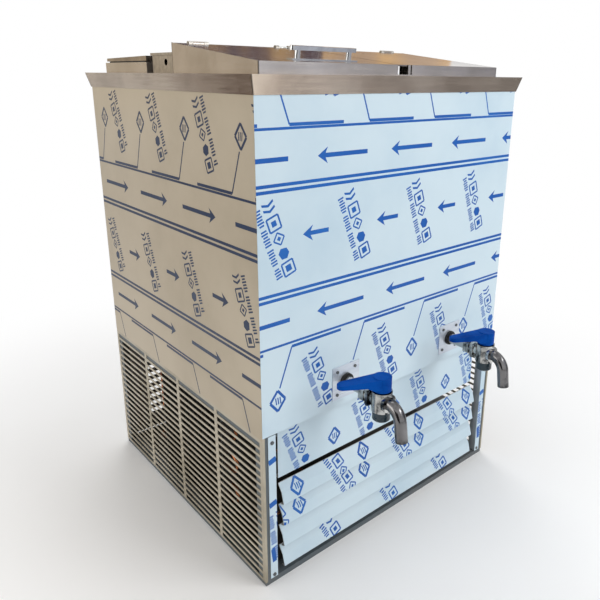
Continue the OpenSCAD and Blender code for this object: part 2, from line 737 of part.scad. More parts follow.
// a lever: a hub cap over the gland and an arm that narrows to its tip, pointing to +X
module lever() {
  reach = lever_len - tip_r;
  difference() {
    union() {
      translate([0, 0, lever_bottom]) cylinder(r = hub_r, h = lever_top - lever_bottom);
      intersection() {
        linear_extrude(lever_top) {
          polygon([[0, hub_r - 1.5], [reach, tip_r], [reach, -tip_r], [0, 1.5 - hub_r]]);
          translate([reach, 0]) circle(tip_r);
        }
        along_y(3 * hub_r, [[0, lever_bottom + 6], [hub_r + 4, lever_bottom + 8], [hub_r + 20, lever_under - 2],
          [lever_len + 1, lever_under], [lever_len + 1, lever_tip_top - 2], [lever_len - 8, lever_tip_top],
          [0, lever_top]]);
      }
    }
    translate([0, 0, lever_bottom - 1]) cylinder(r = 15, h = lever_under - lever_bottom - 3);
    cylinder(r = stem_r + fit / 2, h = lever_under + 8);
  }
}

module placed_lever() translate([0, -valve_out, 0]) rotate(180 - lever_rest) lever();

module left_lever() color("#0b53b5") at_tap(0) placed_lever();

module right_lever() color("#0b53b5") at_tap(1) placed_lever();

module valve_caps() color("#1f3a46") for (t = [0, 1]) at_tap(t) translate([0, -valve_out, 0]) {
  translate([0, 0, housing_bottom]) cylinder(r = ball_r, h = -ball_r - 1 - housing_bottom);
  translate([0, 0, cap_bottom + 3]) cylinder(r = cap_r, h = housing_bottom - cap_bottom - 3);
  translate([0, 0, cap_bottom]) cylinder(r1 = cap_r - 3, r2 = cap_r, h = 3);
}

// the path of the spout as a solid rod: a slightly thicker socket end, the bend and the tail
module spout_rod(r, more) {
  lead = 3;
  rod_y(r + 0.3, -lead - 2, more);
  translate([0, -lead, -spout_bend_r]) rotate([0, 0, -90]) rotate([90, 0, 0]) rotate([0, 0, 90 - spout_bend]) {
    rotate_extrude(angle = spout_bend) translate([spout_bend_r, 0]) circle(r);
    translate([spout_bend_r, 0, 0]) rotate([90, 0, 0]) cylinder(r = r, h = spout_tail + more);
  }
}

module spout() difference() {
  spout_rod(spout_r, 0);
  spout_rod(spout_r - tube_wall, 1);
}

module spouts() color("#b9bcbc") for (t = [0, 1]) at_tap(t) translate([0, -body_out + 5, 0]) spout();

// Cooling

// where the two ends of the evaporator turn down through the foam
function drop_points() = [[-coil_len / 2 - 15, -coil_half], [coil_len / 2 + 15, coil_half]];

module elbow_down() rotate([90, 0, 0]) rotate_extrude(angle = 90, $fn = 24)
  translate([15, 0]) circle(coil_r, $fn = 24);

module evaporator_coil() color("#b87346") translate([0, 0, coil_z]) {
  for (k = [0 : coil_runs - 1]) translate([0, -coil_half + k * coil_pitch, 0]) rotate([0, 90, 0])
    cylinder(r = coil_r, h = coil_len, center = true, $fn = 24);
  for (k = [0 : coil_runs - 2]) translate([(k % 2 == 0 ? 1 : -1) * coil_len / 2, -coil_half + (k + 0.5) * coil_pitch, 0])
    rotate(k % 2 == 0 ? -90 : 90) rotate_extrude(angle = 180, $fn = 48) translate([coil_pitch / 2, 0])
      circle(coil_r, $fn = 24);
  for (p = drop_points()) translate([p[0], p[1], -15]) {
    mirror([p[0] > 0 ? 0 : 1, 0, 0]) translate([-15, 0, 0]) elbow_down();
    translate([0, 0, drop_z - coil_z + 15]) cylinder(r = coil_r, h = coil_z - drop_z - 15, $fn = 24);
  }
}

cond_end = cond_y + cond_w / 2 + 18;
row_z0 = cond_z + 25;
suction = [[coil_len / 2 + 15, coil_half, drop_z], [coil_len / 2 + 15, coil_half, comp_z + 110],
  [coil_len / 2 + 15, comp_y, comp_z + 110], [comp_x + comp_r + 8, comp_y, comp_z + 110]];
discharge = [[comp_x, comp_y + comp_r + 8, comp_z + 140], [comp_x, cond_end + 40, comp_z + 140],
  [cond_x, cond_end + 40, comp_z + 140], [cond_x, cond_end + 40, row_z0 + (rows - 1) * row_pitch],
  [cond_x, cond_end - 8, row_z0 + (rows - 1) * row_pitch]];
drier_len = 120;
drier_x0 = cond_x + 60; // where the liquid line enters the drier
drier_x1 = drier_x0 + drier_len;
liquid = [[cond_x, cond_end - 8, row_z0], [cond_x, coil_half, row_z0], [drier_x0, coil_half, row_z0]];
liquid_up = [[drier_x1, coil_half, row_z0], [drier_x1 + 50, coil_half, row_z0],
  [drier_x1 + 50, -coil_half, row_z0], [-coil_len / 2 - 15, -coil_half, row_z0],
  [-coil_len / 2 - 15, -coil_half, drop_z]];

module refrigerant_lines() color("#b87346") {
  pipe(suction, coil_r);
  pipe(discharge, tube_r - 1);
  pipe(liquid, tube_r - 1);
  pipe(liquid_up, tube_r - 1);
}

module filter_drier() color("#8d6a3f") translate([drier_x0 + drier_len / 2, coil_half, row_z0]) {
  rod_x(14, drier_len - 30);
  rod_x(8, drier_len);
}

module compressor() color("#22262a") {
  translate([comp_x, comp_y, comp_z]) rotate_extrude($fn = 64) polygon(concat([[0, 0], [comp_r - 12, 0]],
    [for (a = [-90 : 15 : 0]) [comp_r - 12 + 12 * cos(a), 12 + 12 * sin(a)]],
    [[comp_r, comp_h / 2 - 4], [comp_r + 6, comp_h / 2 - 4], [comp_r + 6, comp_h / 2 + 4], [comp_r, comp_h / 2 + 4]],
    [for (a = [0 : 10 : 90]) [comp_r * cos(a), comp_h - 45 + 45 * sin(a)]]));
  difference() {
    translate([comp_x, comp_y, comp_z - 1.5]) cube([200, 150, 3], center = true);
    for (i = [-1, 1], j = [-1, 1]) translate([comp_x + 80 * i, comp_y + 55 * j, comp_z - 5])
      cylinder(r = 6.5 + hair, h = 10);
  }
  translate([comp_x, comp_y, comp_z + 110]) rotate([0, 90, 0]) cylinder(r = 9, h = comp_r + 8);
  translate([comp_x, comp_y, comp_z + 140]) rod_y(8, 0, comp_r + 8);
}

module compressor_mounts() color("#1c1c1c") for (i = [-1, 1], j = [-1, 1])
  translate([comp_x + 80 * i, comp_y + 55 * j, 0]) {
    translate([0, 0, plate_z]) cylinder(r = 14, h = comp_z - 3 - plate_z);
    translate([0, 0, rail_h + 0.5]) cylinder(r = 3.5, h = 10);
    translate([0, 0, plate_z]) cylinder(r = 6.5, h = comp_z + 6 - plate_z);
  }

module condenser_fins() color("#aab0b4") translate([cond_x, cond_y, 0]) {
  for (k = [0 : fins - 1]) difference() {
    y = -cond_w / 2 + 12 + k * (cond_w - 24) / (fins - 1);
    block([-cond_t / 2, y - 0.5, cond_z], [cond_t / 2, y + 0.5, cond_z + cond_h]);
    for (r = [0 : rows - 1]) translate([0, 0, row_z0 + r * row_pitch])
      rod_y(tube_r + hair, -cond_w, cond_w, $fn = 16);
  }
  for (s = [-1, 1]) difference() {
    block([-cond_t / 2 - 3, s * cond_w / 2 - 1.5, plate_z], [cond_t / 2, s * cond_w / 2 + 1.5, cond_z + cond_h + 6]);
    for (r = [0 : rows - 1]) translate([0, 0, row_z0 + r * row_pitch])
      rod_y(tube_r + hair, -cond_w, cond_w, $fn = 16);
  }
}

module condenser_tubes() color("#b87346") translate([cond_x, cond_y, row_z0]) {
  for (r = [0 : rows - 1]) translate([0, 0, r * row_pitch])
    rod_y(tube_r, -cond_w / 2 - 10, cond_w / 2 + 10, $fn = 16);
  for (r = [0 : rows - 2]) translate([0, (r % 2 == 0 ? -1 : 1) * (cond_w / 2 + 10), (r + 0.5) * row_pitch])
    rotate([90, 0, r % 2 == 0 ? -90 : 90]) rotate([0, 0, -90]) rotate_extrude(angle = 180, $fn = 32)
      translate([row_pitch / 2, 0]) circle(tube_r, $fn = 16);
}

module fan_shroud() color("#3a3f42") {
  difference() {
    block([shroud_x - 10, cond_y - cond_w / 2 - 4, cond_z], [shroud_x, cond_y + cond_w / 2 + 4, cond_z + cond_h]);
    block([shroud_x - 11, cond_y - cond_w / 2 + 4, cond_z + 4], [shroud_x - 2, cond_y + cond_w / 2 - 4,
      cond_z + cond_h - 4]);
    translate([shroud_x, cond_y, fan_z]) rod_x(fan_r + 6, 30);
  }
  difference() {
    block([shroud_x - 1, cond_y - 12, fan_z - fan_r - 22], [strap_x + 3, cond_y + 12, fan_z + fan_r + 22]);
    block([shroud_x - 2, cond_y - 13, fan_z - fan_r - 19], [strap_x, cond_y + 13, fan_z + fan_r + 19]);
    translate([strap_x, cond_y, fan_z]) rod_x(fan_shaft_r + 2, 20);
  }
}

module fan_motor() color("#52585c") difference() {
  translate([strap_x + 3, cond_y, fan_z]) rotate([0, 90, 0]) {
    cylinder(r = motor_r, h = 46);
    translate([0, 0, 46]) cylinder(r = motor_r - 14, h = 12);
  }
  translate([strap_x, cond_y, fan_z]) rotate([0, 90, 0]) cylinder(r = fan_shaft_r + fit, h = 42);
}

module fan() color("#9aa0a3") translate([fan_x, cond_y, fan_z]) rotate([0, 90, 0]) {
  translate([0, 0, -fan_hub_w / 2]) cylinder(r = 24, h = fan_hub_w);
  cylinder(r = fan_shaft_r, h = strap_x + 36 - fan_x);
  intersection() {
    cylinder(r = fan_r, h = 60, center = true);
    for (i = [0 : fan_blades - 1]) rotate(i * 360 / fan_blades) translate([fan_r / 2, 0, 0]) rotate([24, 0, 0])
      cube([fan_r + 10, 46, 2], center = true);
  }
}

module control_box() color("#c9ccce") {
  translate([side - 187, front + 109, plate_z]) {
    cube([140, 120, 150]);
    translate([6, -4, 6]) cube([128, 4.5, 138]);
  }
}

base_frame();
base_plate();
deck_plate();
front_panel();
left_panel();
right_panel();
back_panel();
left_grille();
right_grille();
back_cover();
front_fascia();
louvre_panel();
left_front_strip();
right_front_strip();
cover_screws();
rim_band();
milk_vessel();
foam_insulation();
front_upstand();
rear_upstand();
bridge();
bridge_cover();
lid_seals();
left_lid();
right_lid();
rear_lid();
left_lid_handle();
rear_lid_handle();
lid_hinge_pins();
agitator_gearmotor();
agitator_bush();
agitator_shaft();
agitator_paddle();
outlet_pipes();
tap_plates();
tap_screws();
tap_collars();
left_valve_body();
right_valve_body();
valve_seats();
left_ball();
right_ball();
left_stem();
right_stem();
gland_nuts();
left_lever();
right_lever();
valve_caps();
spouts();
evaporator_coil();
refrigerant_lines();
filter_drier();
compressor();
compressor_mounts();
condenser_fins();
condenser_tubes();
fan_shroud();
fan_motor();
fan();
control_box();
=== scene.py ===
# %% [markdown]
# # A bulk milk tank, dressed for its portrait
# The tank stands on its own cooling unit. Its stainless skins still wear the printed film
# that protects sheet metal on the way from the mill, pale blue with blue ink. The left side
# is written beige with navy ink: the same film with painted warm shade. The solids come from
# the CAD model and stay as they are: here they get their finishes, the film, the seams and
# small details.

# %% Load the solids
import math

import bmesh
import bpy
from mathutils import Matrix, Vector
from mathutils.geometry import delaunay_2d_cdt


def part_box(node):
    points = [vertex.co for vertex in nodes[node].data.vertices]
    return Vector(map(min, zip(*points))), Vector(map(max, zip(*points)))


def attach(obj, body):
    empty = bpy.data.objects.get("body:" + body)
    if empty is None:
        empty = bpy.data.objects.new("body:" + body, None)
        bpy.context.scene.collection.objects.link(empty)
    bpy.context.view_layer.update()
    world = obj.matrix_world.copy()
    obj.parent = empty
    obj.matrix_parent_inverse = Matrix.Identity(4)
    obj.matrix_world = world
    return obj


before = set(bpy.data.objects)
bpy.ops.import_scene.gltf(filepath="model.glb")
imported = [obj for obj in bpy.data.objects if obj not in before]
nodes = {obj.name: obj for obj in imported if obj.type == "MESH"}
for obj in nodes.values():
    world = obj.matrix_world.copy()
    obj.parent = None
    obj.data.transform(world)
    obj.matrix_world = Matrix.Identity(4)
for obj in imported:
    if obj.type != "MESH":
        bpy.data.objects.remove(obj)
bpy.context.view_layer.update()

# %% [markdown]
# Every place is read off the solids. The camera's place is a share of the rim's height,
# so `share` turns such a share into metres, and `mm` does the same for millimetres.

# %% Main measures
front_low, front_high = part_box("front_panel")
rim_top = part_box("rim_band")[1].z
left_x, right_x = front_low.x, front_high.x
front_y = front_low.y
back_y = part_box("back_panel")[1].y
bay_top = front_low.z
body_w, body_d = right_x - left_x, back_y - front_y


def share(value):
    """A share of the rim's height, in metres."""
    return value * rim_top


def mm(value):
    return value * 0.001


def written(red, green, blue):
    """A colour as it is seen on a screen, 0 to 255, in the linear numbers of a shader."""
    def linear(level):
        level /= 255
        return level / 12.92 if level <= 0.04045 else ((level + 0.055) / 1.055) ** 2.4
    return (linear(red), linear(green), linear(blue), 1)


print("body", round(body_w, 3), "x", round(body_d, 3), "m, rim at", round(rim_top, 3), "m")

# %% [markdown]
# ## The camera
# It stands off the near left corner, a little under the rim's height, and looks down on
# the front. A small shift puts the tank where the photograph has it.

# %% Camera
eye = Vector((share(-0.552) - body_w / 2, share(-0.821) - body_d / 2, share(0.998)))
look_turn, look_drop, look_tilt = math.radians(41.17), math.radians(17.11), math.radians(0.64)
picture, focal, centre_x, centre_y = 600, 603.64, 331.16, 261.99  # in picture points
sensor = 36

camera = bpy.data.objects.new("camera", bpy.data.cameras.new("camera"))
bpy.context.scene.collection.objects.link(camera)
bpy.context.scene.camera = camera
camera.matrix_world = (
    Matrix.Translation(eye)
    @ Matrix.Rotation(-look_turn, 4, "Z")
    @ Matrix.Rotation(math.radians(90) - look_drop, 4, "X")
    @ Matrix.Rotation(look_tilt, 4, "Z")
)
bpy.context.scene.view_settings.view_transform = "Standard"
camera.data.sensor_width = sensor
camera.data.lens = sensor * focal / picture
camera.data.shift_x = (picture / 2 - centre_x) / picture
camera.data.shift_y = (centre_y - picture / 2) / picture

# %% [markdown]
# ## Studio
# A white world, seen by the camera and by shiny metal, gives less light to matt surfaces,
# so that the lamps model the shapes. The floor is white and keeps a soft shadow.

# %% World, lamps and floor
world = bpy.data.worlds.new("studio")
bpy.context.scene.world = world
world.use_nodes = True
tree = world.node_tree
tree.nodes.clear()
world_out = tree.nodes.new("ShaderNodeOutputWorld")
background = tree.nodes.new("ShaderNodeBackground")
light_path = tree.nodes.new("ShaderNodeLightPath")
seen = tree.nodes.new("ShaderNodeMath")
seen.operation = "MAXIMUM"
seen_too = tree.nodes.new("ShaderNodeMath")
seen_too.operation = "MAXIMUM"
strength = tree.nodes.new("ShaderNodeMapRange")
strength.inputs["To Min"].default_value = 0.5
strength.inputs["To Max"].default_value = 1.0
background.inputs["Color"].default_value = (1, 1, 1, 1)
tree.links.new(light_path.outputs["Is Camera Ray"], seen.inputs[0])
tree.links.new(light_path.outputs["Is Glossy Ray"], seen.inputs[1])
tree.links.new(seen.outputs[0], seen_too.inputs[0])
tree.links.new(light_path.outputs["Is Transmission Ray"], seen_too.inputs[1])
tree.links.new(seen_too.outputs[0], strength.inputs["Value"])
tree.links.new(strength.outputs["Result"], background.inputs["Strength"])
tree.links.new(background.outputs["Background"], world_out.inputs["Surface"])


def softbox(name, place, target, width, height, power, colour=(1, 1, 1)):
    """A large soft lamp at place that shines at target."""
    lamp = bpy.data.objects.new(name, bpy.data.lights.new(name, "AREA"))
    lamp.data.shape = "RECTANGLE"
    lamp.data.size, lamp.data.size_y = width, height
    lamp.data.energy = power
    lamp.data.color = colour
    lamp.location = place
    lamp.rotation_euler = (Vector(target) - Vector(place)).to_track_quat("-Z", "Y").to_euler()
    bpy.context.scene.collection.objects.link(lamp)


softbox("key", (1.6, -3.2, 2.6), (0, 0, 0.6), 2.2, 2.2, 72)
softbox("side_fill", (-3.6, 0.6, 1.6), (0, 0, 0.6), 2.4, 2.0, 34, (1, 0.96, 0.9))
softbox("top", (0.2, 0.6, 3.6), (0, 0, 1.2), 2.0, 2.0, 26)
softbox("back_fill", (1.8, 3.4, 2.0), (0, 0, 0.6), 2.2, 2.0, 34)


def stage_plane(name, centre, facing, width, height):
    """A flat sheet of the studio. It looks along facing and isn't part of the tank."""
    turn = Vector(facing).to_track_quat("Z", "Y").to_matrix().to_4x4()
    w, h = width / 2, height / 2
    mesh = bpy.data.meshes.new(name)
    mesh.from_pydata([(-w, -h, 0), (w, -h, 0), (w, h, 0), (-w, h, 0)], [], [(0, 1, 2, 3)])
    sheet = bpy.data.objects.new(name, mesh)
    sheet.matrix_world = Matrix.Translation(centre) @ turn
    bpy.context.scene.collection.objects.link(sheet)
    return sheet


floor_size = 18
floor = stage_plane("floor", (0, 0, 0), (0, 0, 1), floor_size, floor_size)
print("lamps:", len(bpy.data.lights), "floor:", floor.name)

# %% [markdown]
# Polished steel shows the room, so in an all white room it looks like paper. As a
# photographer does, seven flags stand outside the picture and lend the rim and the lids
# dark and warm reflections. The camera doesn't see them, only the metal does.

# %% Flags for the metal
flags = {
    # name: centre, the way it looks, width, height, tone at one end and at the other, glint and its share
    "warm_flag": ((2.45, 2.75, 2.0), (-0.55, -0.8, -0.15), 2.3, 1.5,
                  (0.03, 0.02, 0.05), (0.68, 0.49, 0.34), (1.0, 0.60, 0.22), 0.6),
    "violet_flag": ((1.64, 3.25, 2.0), (-0.55, -0.8, -0.15), 1.9, 1.5,
                    (0.02, 0.01, 0.05), (0.08, 0.05, 0.07), (1.0, 0.62, 0.22), 0.5),
    "grey_flag": ((1.654, -1.623, 0.4), (-0.447, 0.894, 0), 1.7, 0.9,
                  (0.0, 0.0, 0.01), (0.56, 0.57, 0.62), (0.6, 0.5, 0.42), 0.15),
    "pale_flag": ((1.61, -1.645, 1.3), (-0.447, 0.894, 0), 2.8, 0.9,
                  (0.05, 0.05, 0.09), (0.90, 0.92, 1.0), (0.7, 0.7, 0.8), 0.2),
    "tan_flag": ((-1.5, 1.65, 1.42), (0.6, -0.8, 0), 1.9, 0.9,
                 (0.62, 0.50, 0.36), (0.72, 0.60, 0.44), (0.9, 0.8, 0.6), 0.3),
    "brown_flag": ((-1.82, 1.35, 0.45), (0.6, -0.8, 0), 1.2, 0.9,
                   (0.02, 0.01, 0.01), (0.09, 0.05, 0.035), (0.4, 0.3, 0.22), 0.25),
    "dark_flag": ((-2.3, -1.5, 0.8), (0.88, 0.48, 0), 1.6, 1.9,
                  (0.02, 0.02, 0.025), (0.07, 0.06, 0.06), (0.2, 0.2, 0.2), 0.2),
}
fold_size, glint_from, glint_full = 2.4, 0.5, 0.66


def flag_cloth(name, first_tone, last_tone, glint, glint_share):
    """Glowing cloth: one tone runs into the other along the flag, and its folds carry glints."""
    cloth = bpy.data.materials.new(name)
    cloth.use_nodes = True
    tree = cloth.node_tree
    tree.nodes.clear()
    across = tree.nodes.new("ShaderNodeTexCoord")
    apart = tree.nodes.new("ShaderNodeSeparateXYZ")
    folds = tree.nodes.new("ShaderNodeTexNoise")
    folds.inputs["Scale"].default_value = fold_size
    amount = tree.nodes.new("ShaderNodeMapRange")
    amount.inputs["From Min"].default_value = glint_from
    amount.inputs["From Max"].default_value = glint_full
    amount.inputs["To Max"].default_value = glint_share
    tone = tree.nodes.new("ShaderNodeMix")
    tone.data_type = "RGBA"
    tone.inputs[6].default_value = (*first_tone, 1)
    tone.inputs[7].default_value = (*last_tone, 1)
    lit = tree.nodes.new("ShaderNodeMix")
    lit.data_type = "RGBA"
    lit.inputs[7].default_value = (*glint, 1)
    glow = tree.nodes.new("ShaderNodeEmission")
    cloth_out = tree.nodes.new("ShaderNodeOutputMaterial")
    tree.links.new(across.outputs["Generated"], apart.inputs["Vector"])
    tree.links.new(apart.outputs["X"], tone.inputs[0])
    tree.links.new(across.outputs["Object"], folds.inputs["Vector"])
    tree.links.new(folds.outputs["Fac"], amount.inputs["Value"])
    tree.links.new(tone.outputs[2], lit.inputs[6])
    tree.links.new(amount.outputs["Result"], lit.inputs[0])
    tree.links.new(lit.outputs[2], glow.inputs["Color"])
    tree.links.new(glow.outputs["Emission"], cloth_out.inputs["Surface"])
    return cloth


for flag_name, (centre, facing, width, height, *cloth_look) in flags.items():
    flag = stage_plane(flag_name, centre, facing, width, height)
    flag.visible_camera = False
    flag.visible_diffuse = False
    flag.visible_shadow = False
    flag.data.materials.append(flag_cloth(flag_name, *cloth_look))
print("flags:", len(flags))

# %% [markdown]
# ## Finishes
# An effect that several finishes share is a node group: it is built once and placed in
# each material with its own values. A group only puts out masks and heights, and the
# shader stays in the material, where every constant sits on the shader's own socket.


# %% Groups: grain, smudges and film
def new_group(name, inputs, outputs):
    group = bpy.data.node_groups.new(name, "ShaderNodeTree")
    for label, kind, value in inputs:
        socket = group.interface.new_socket(label, in_out="INPUT", socket_type=kind)
        socket.default_value = value
    for label in outputs:
        group.interface.new_socket(label, in_out="OUTPUT", socket_type="NodeSocketFloat")
    return group, group.nodes.new("NodeGroupInput"), group.nodes.new("NodeGroupOutput")


def make_brushed_grain():
    """Long fine scratches. Stretch says how dense they lie along X, Y and Z."""
    group, given, result = new_group(
        "brushed_grain", [("Stretch", "NodeSocketVector", (4, 900, 900))], ["Grain", "Bands"])
    place = group.nodes.new("ShaderNodeTexCoord")
    stretch = group.nodes.new("ShaderNodeVectorMath")
    stretch.operation = "MULTIPLY"
    fine = group.nodes.new("ShaderNodeTexNoise")
    fine.inputs["Scale"].default_value = 1.0
    fine.inputs["Detail"].default_value = 3.0
    wide = group.nodes.new("ShaderNodeTexNoise")
    wide.inputs["Scale"].default_value = 0.13
    wide.inputs["Detail"].default_value = 2.0
    group.links.new(place.outputs["Object"], stretch.inputs[0])
    group.links.new(given.outputs["Stretch"], stretch.inputs[1])
    group.links.new(stretch.outputs[0], fine.inputs["Vector"])
    group.links.new(stretch.outputs[0], wide.inputs["Vector"])
    group.links.new(fine.outputs["Fac"], result.inputs["Grain"])
    group.links.new(wide.outputs["Fac"], result.inputs["Bands"])
    return group


def make_smudges():
    """Cloudy marks of hands, dust and rinse water, 0 to 1, in two sizes. On the valves and the spouts the
    cloud lays painted dark reflections.
    """
    group, given, result = new_group(
        "smudges", [("Size", "NodeSocketFloat", 3.0), ("Sharpness", "NodeSocketFloat", 0.5)],
        ["Cloud", "Specks"])
    place = group.nodes.new("ShaderNodeTexCoord")
    cloud = group.nodes.new("ShaderNodeTexNoise")
    cloud.inputs["Detail"].default_value = 5.0
    cloud.inputs["Roughness"].default_value = 0.6
    specks = group.nodes.new("ShaderNodeTexNoise")
    specks.inputs["Scale"].default_value = 240.0
    specks.inputs["Detail"].default_value = 2.0
    curve = group.nodes.new("ShaderNodeMapRange")
    curve.interpolation_type = "SMOOTHSTEP"
    curve.inputs["From Min"].default_value = 0.38
    edge = group.nodes.new("ShaderNodeMapRange")
    edge.inputs["From Min"].default_value = 0.0
    edge.inputs["To Min"].default_value = 0.75
    edge.inputs["To Max"].default_value = 0.5
    dots = group.nodes.new("ShaderNodeMapRange")
    dots.inputs["From Min"].default_value = 0.62
    dots.inputs["From Max"].default_value = 0.72
    group.links.new(place.outputs["Object"], cloud.inputs["Vector"])
    group.links.new(place.outputs["Object"], specks.inputs["Vector"])
    group.links.new(given.outputs["Size"], cloud.inputs["Scale"])
    group.links.new(given.outputs["Sharpness"], edge.inputs["Value"])
    group.links.new(edge.outputs["Result"], curve.inputs["From Max"])
    group.links.new(cloud.outputs["Fac"], curve.inputs["Value"])
    group.links.new(specks.outputs["Fac"], dots.inputs["Value"])
    group.links.new(curve.outputs["Result"], result.inputs["Cloud"])
    group.links.new(dots.outputs["Result"], result.inputs["Specks"])
    return group


def make_film_surface():
    """Small blisters and long soft waves where the film isn't stuck down flat."""
    group, given, result = new_group(
        "film_surface", [("Blister Size", "NodeSocketFloat", 60.0)], ["Height", "Blisters"])
    place = group.nodes.new("ShaderNodeTexCoord")
    waves = group.nodes.new("ShaderNodeTexNoise")
    waves.inputs["Scale"].default_value = 5.0
    waves.inputs["Detail"].default_value = 2.0
    waves.inputs["Distortion"].default_value = 0.6
    blister = group.nodes.new("ShaderNodeTexVoronoi")
    blister.feature = "SMOOTH_F1"
    blister.inputs["Smoothness"].default_value = 0.6
    round_off = group.nodes.new("ShaderNodeMapRange")
    round_off.interpolation_type = "SMOOTHSTEP"
    round_off.inputs["From Min"].default_value = 0.0
    round_off.inputs["From Max"].default_value = 0.28
    round_off.inputs["To Min"].default_value = 1.0
    round_off.inputs["To Max"].default_value = 0.0
    rare = group.nodes.new("ShaderNodeTexNoise")
    rare.inputs["Scale"].default_value = 4.0
    only_some = group.nodes.new("ShaderNodeMapRange")
    only_some.inputs["From Min"].default_value = 0.56
    only_some.inputs["From Max"].default_value = 0.68
    spots = group.nodes.new("ShaderNodeMath")
    spots.operation = "MULTIPLY"
    total = group.nodes.new("ShaderNodeMath")
    total.operation = "MULTIPLY_ADD"
    total.inputs[1].default_value = 0.35
    group.links.new(place.outputs["Object"], waves.inputs["Vector"])
    group.links.new(place.outputs["Object"], blister.inputs["Vector"])
    group.links.new(place.outputs["Object"], rare.inputs["Vector"])
    group.links.new(given.outputs["Blister Size"], blister.inputs["Scale"])
    group.links.new(blister.outputs["Distance"], round_off.inputs["Value"])
    group.links.new(rare.outputs["Fac"], only_some.inputs["Value"])
    group.links.new(round_off.outputs["Result"], spots.inputs[0])
    group.links.new(only_some.outputs["Result"], spots.inputs[1])
    group.links.new(spots.outputs[0], total.inputs[0])
    group.links.new(waves.outputs["Fac"], total.inputs[2])
    group.links.new(total.outputs[0], result.inputs["Height"])
    group.links.new(spots.outputs[0], result.inputs["Blisters"])
    return group


def make_mitre_seam():
    """A mask on the corner lines of a box that is centred on x = y = 0: its mitres, where the dark line is
    painted shade.
    """
    group, given, result = new_group(
        "mitre_seam",
        [("Half X", "NodeSocketFloat", 0.4), ("Half Y", "NodeSocketFloat", 0.4),
         ("Centre Y", "NodeSocketFloat", 0.0), ("Width", "NodeSocketFloat", 0.002)],
        ["Seam"])
    place = group.nodes.new("ShaderNodeTexCoord")
    apart = group.nodes.new("ShaderNodeSeparateXYZ")
    group.links.new(place.outputs["Object"], apart.inputs["Vector"])
    steps = {}
    for step_name, operation in (
            ("size_x", "ABSOLUTE"), ("short_x", "SUBTRACT"), ("shift_y", "SUBTRACT"), ("size_y", "ABSOLUTE"),
            ("short_y", "SUBTRACT"), ("offset", "SUBTRACT"), ("distance", "ABSOLUTE")):
        steps[step_name] = group.nodes.new("ShaderNodeMath")
        steps[step_name].operation = operation
    line = group.nodes.new("ShaderNodeMapRange")
    line.inputs["To Min"].default_value = 1.0
    line.inputs["To Max"].default_value = 0.0
    group.links.new(apart.outputs["X"], steps["size_x"].inputs[0])
    group.links.new(steps["size_x"].outputs[0], steps["short_x"].inputs[0])
    group.links.new(given.outputs["Half X"], steps["short_x"].inputs[1])
    group.links.new(apart.outputs["Y"], steps["shift_y"].inputs[0])
    group.links.new(given.outputs["Centre Y"], steps["shift_y"].inputs[1])
    group.links.new(steps["shift_y"].outputs[0], steps["size_y"].inputs[0])
    group.links.new(steps["size_y"].outputs[0], steps["short_y"].inputs[0])
    group.links.new(given.outputs["Half Y"], steps["short_y"].inputs[1])
    group.links.new(steps["short_x"].outputs[0], steps["offset"].inputs[0])
    group.links.new(steps["short_y"].outputs[0], steps["offset"].inputs[1])
    group.links.new(steps["offset"].outputs[0], steps["distance"].inputs[0])
    group.links.new(steps["distance"].outputs[0], line.inputs["Value"])
    group.links.new(given.outputs["Width"], line.inputs["From Max"])
    group.links.new(line.outputs["Result"], result.inputs["Seam"])
    return group


brushed_grain = make_brushed_grain()
mitre_seam = make_mitre_seam()
smudges = make_smudges()
film_surface = make_film_surface()
print("groups:", brushed_grain.name, smudges.name, mitre_seam.name, film_surface.name)


# %% Helpers that build a material
def new_material(name, rough, metal=0.0):
    material = bpy.data.materials.new(name)
    material.use_nodes = True
    shader = material.node_tree.nodes["Principled BSDF"]
    shader.inputs["Roughness"].default_value = rough
    shader.inputs["Metallic"].default_value = metal
    return material, material.node_tree, shader


def place_group(tree, group, **values):
    node = tree.nodes.new("ShaderNodeGroup")
    node.node_tree = group
    for label, value in values.items():
        node.inputs[label.replace("_", " ")].default_value = value
    return node


def blend_colours(tree, mask, plain, marked):
    """A colour that goes from plain to marked where the mask goes from 0 to 1."""
    mix = tree.nodes.new("ShaderNodeMix")
    mix.data_type = "RGBA"
    mix.inputs[6].default_value = plain
    mix.inputs[7].default_value = marked
    tree.links.new(mask, mix.inputs[0])
    return mix.outputs[2]


def spread(tree, mask, low, high):
    """Turns a mask of 0 to 1 into values from low to high."""
    node = tree.nodes.new("ShaderNodeMapRange")
    node.inputs["To Min"].default_value = low
    node.inputs["To Max"].default_value = high
    tree.links.new(mask, node.inputs["Value"])
    return node.outputs["Result"]


def add_bump(tree, shader, height, depth, strength=1.0):
    bump = tree.nodes.new("ShaderNodeBump")
    bump.inputs["Strength"].default_value = strength
    bump.inputs["Distance"].default_value = depth
    tree.links.new(height, bump.inputs["Height"])
    tree.links.new(bump.outputs["Normal"], shader.inputs["Normal"])
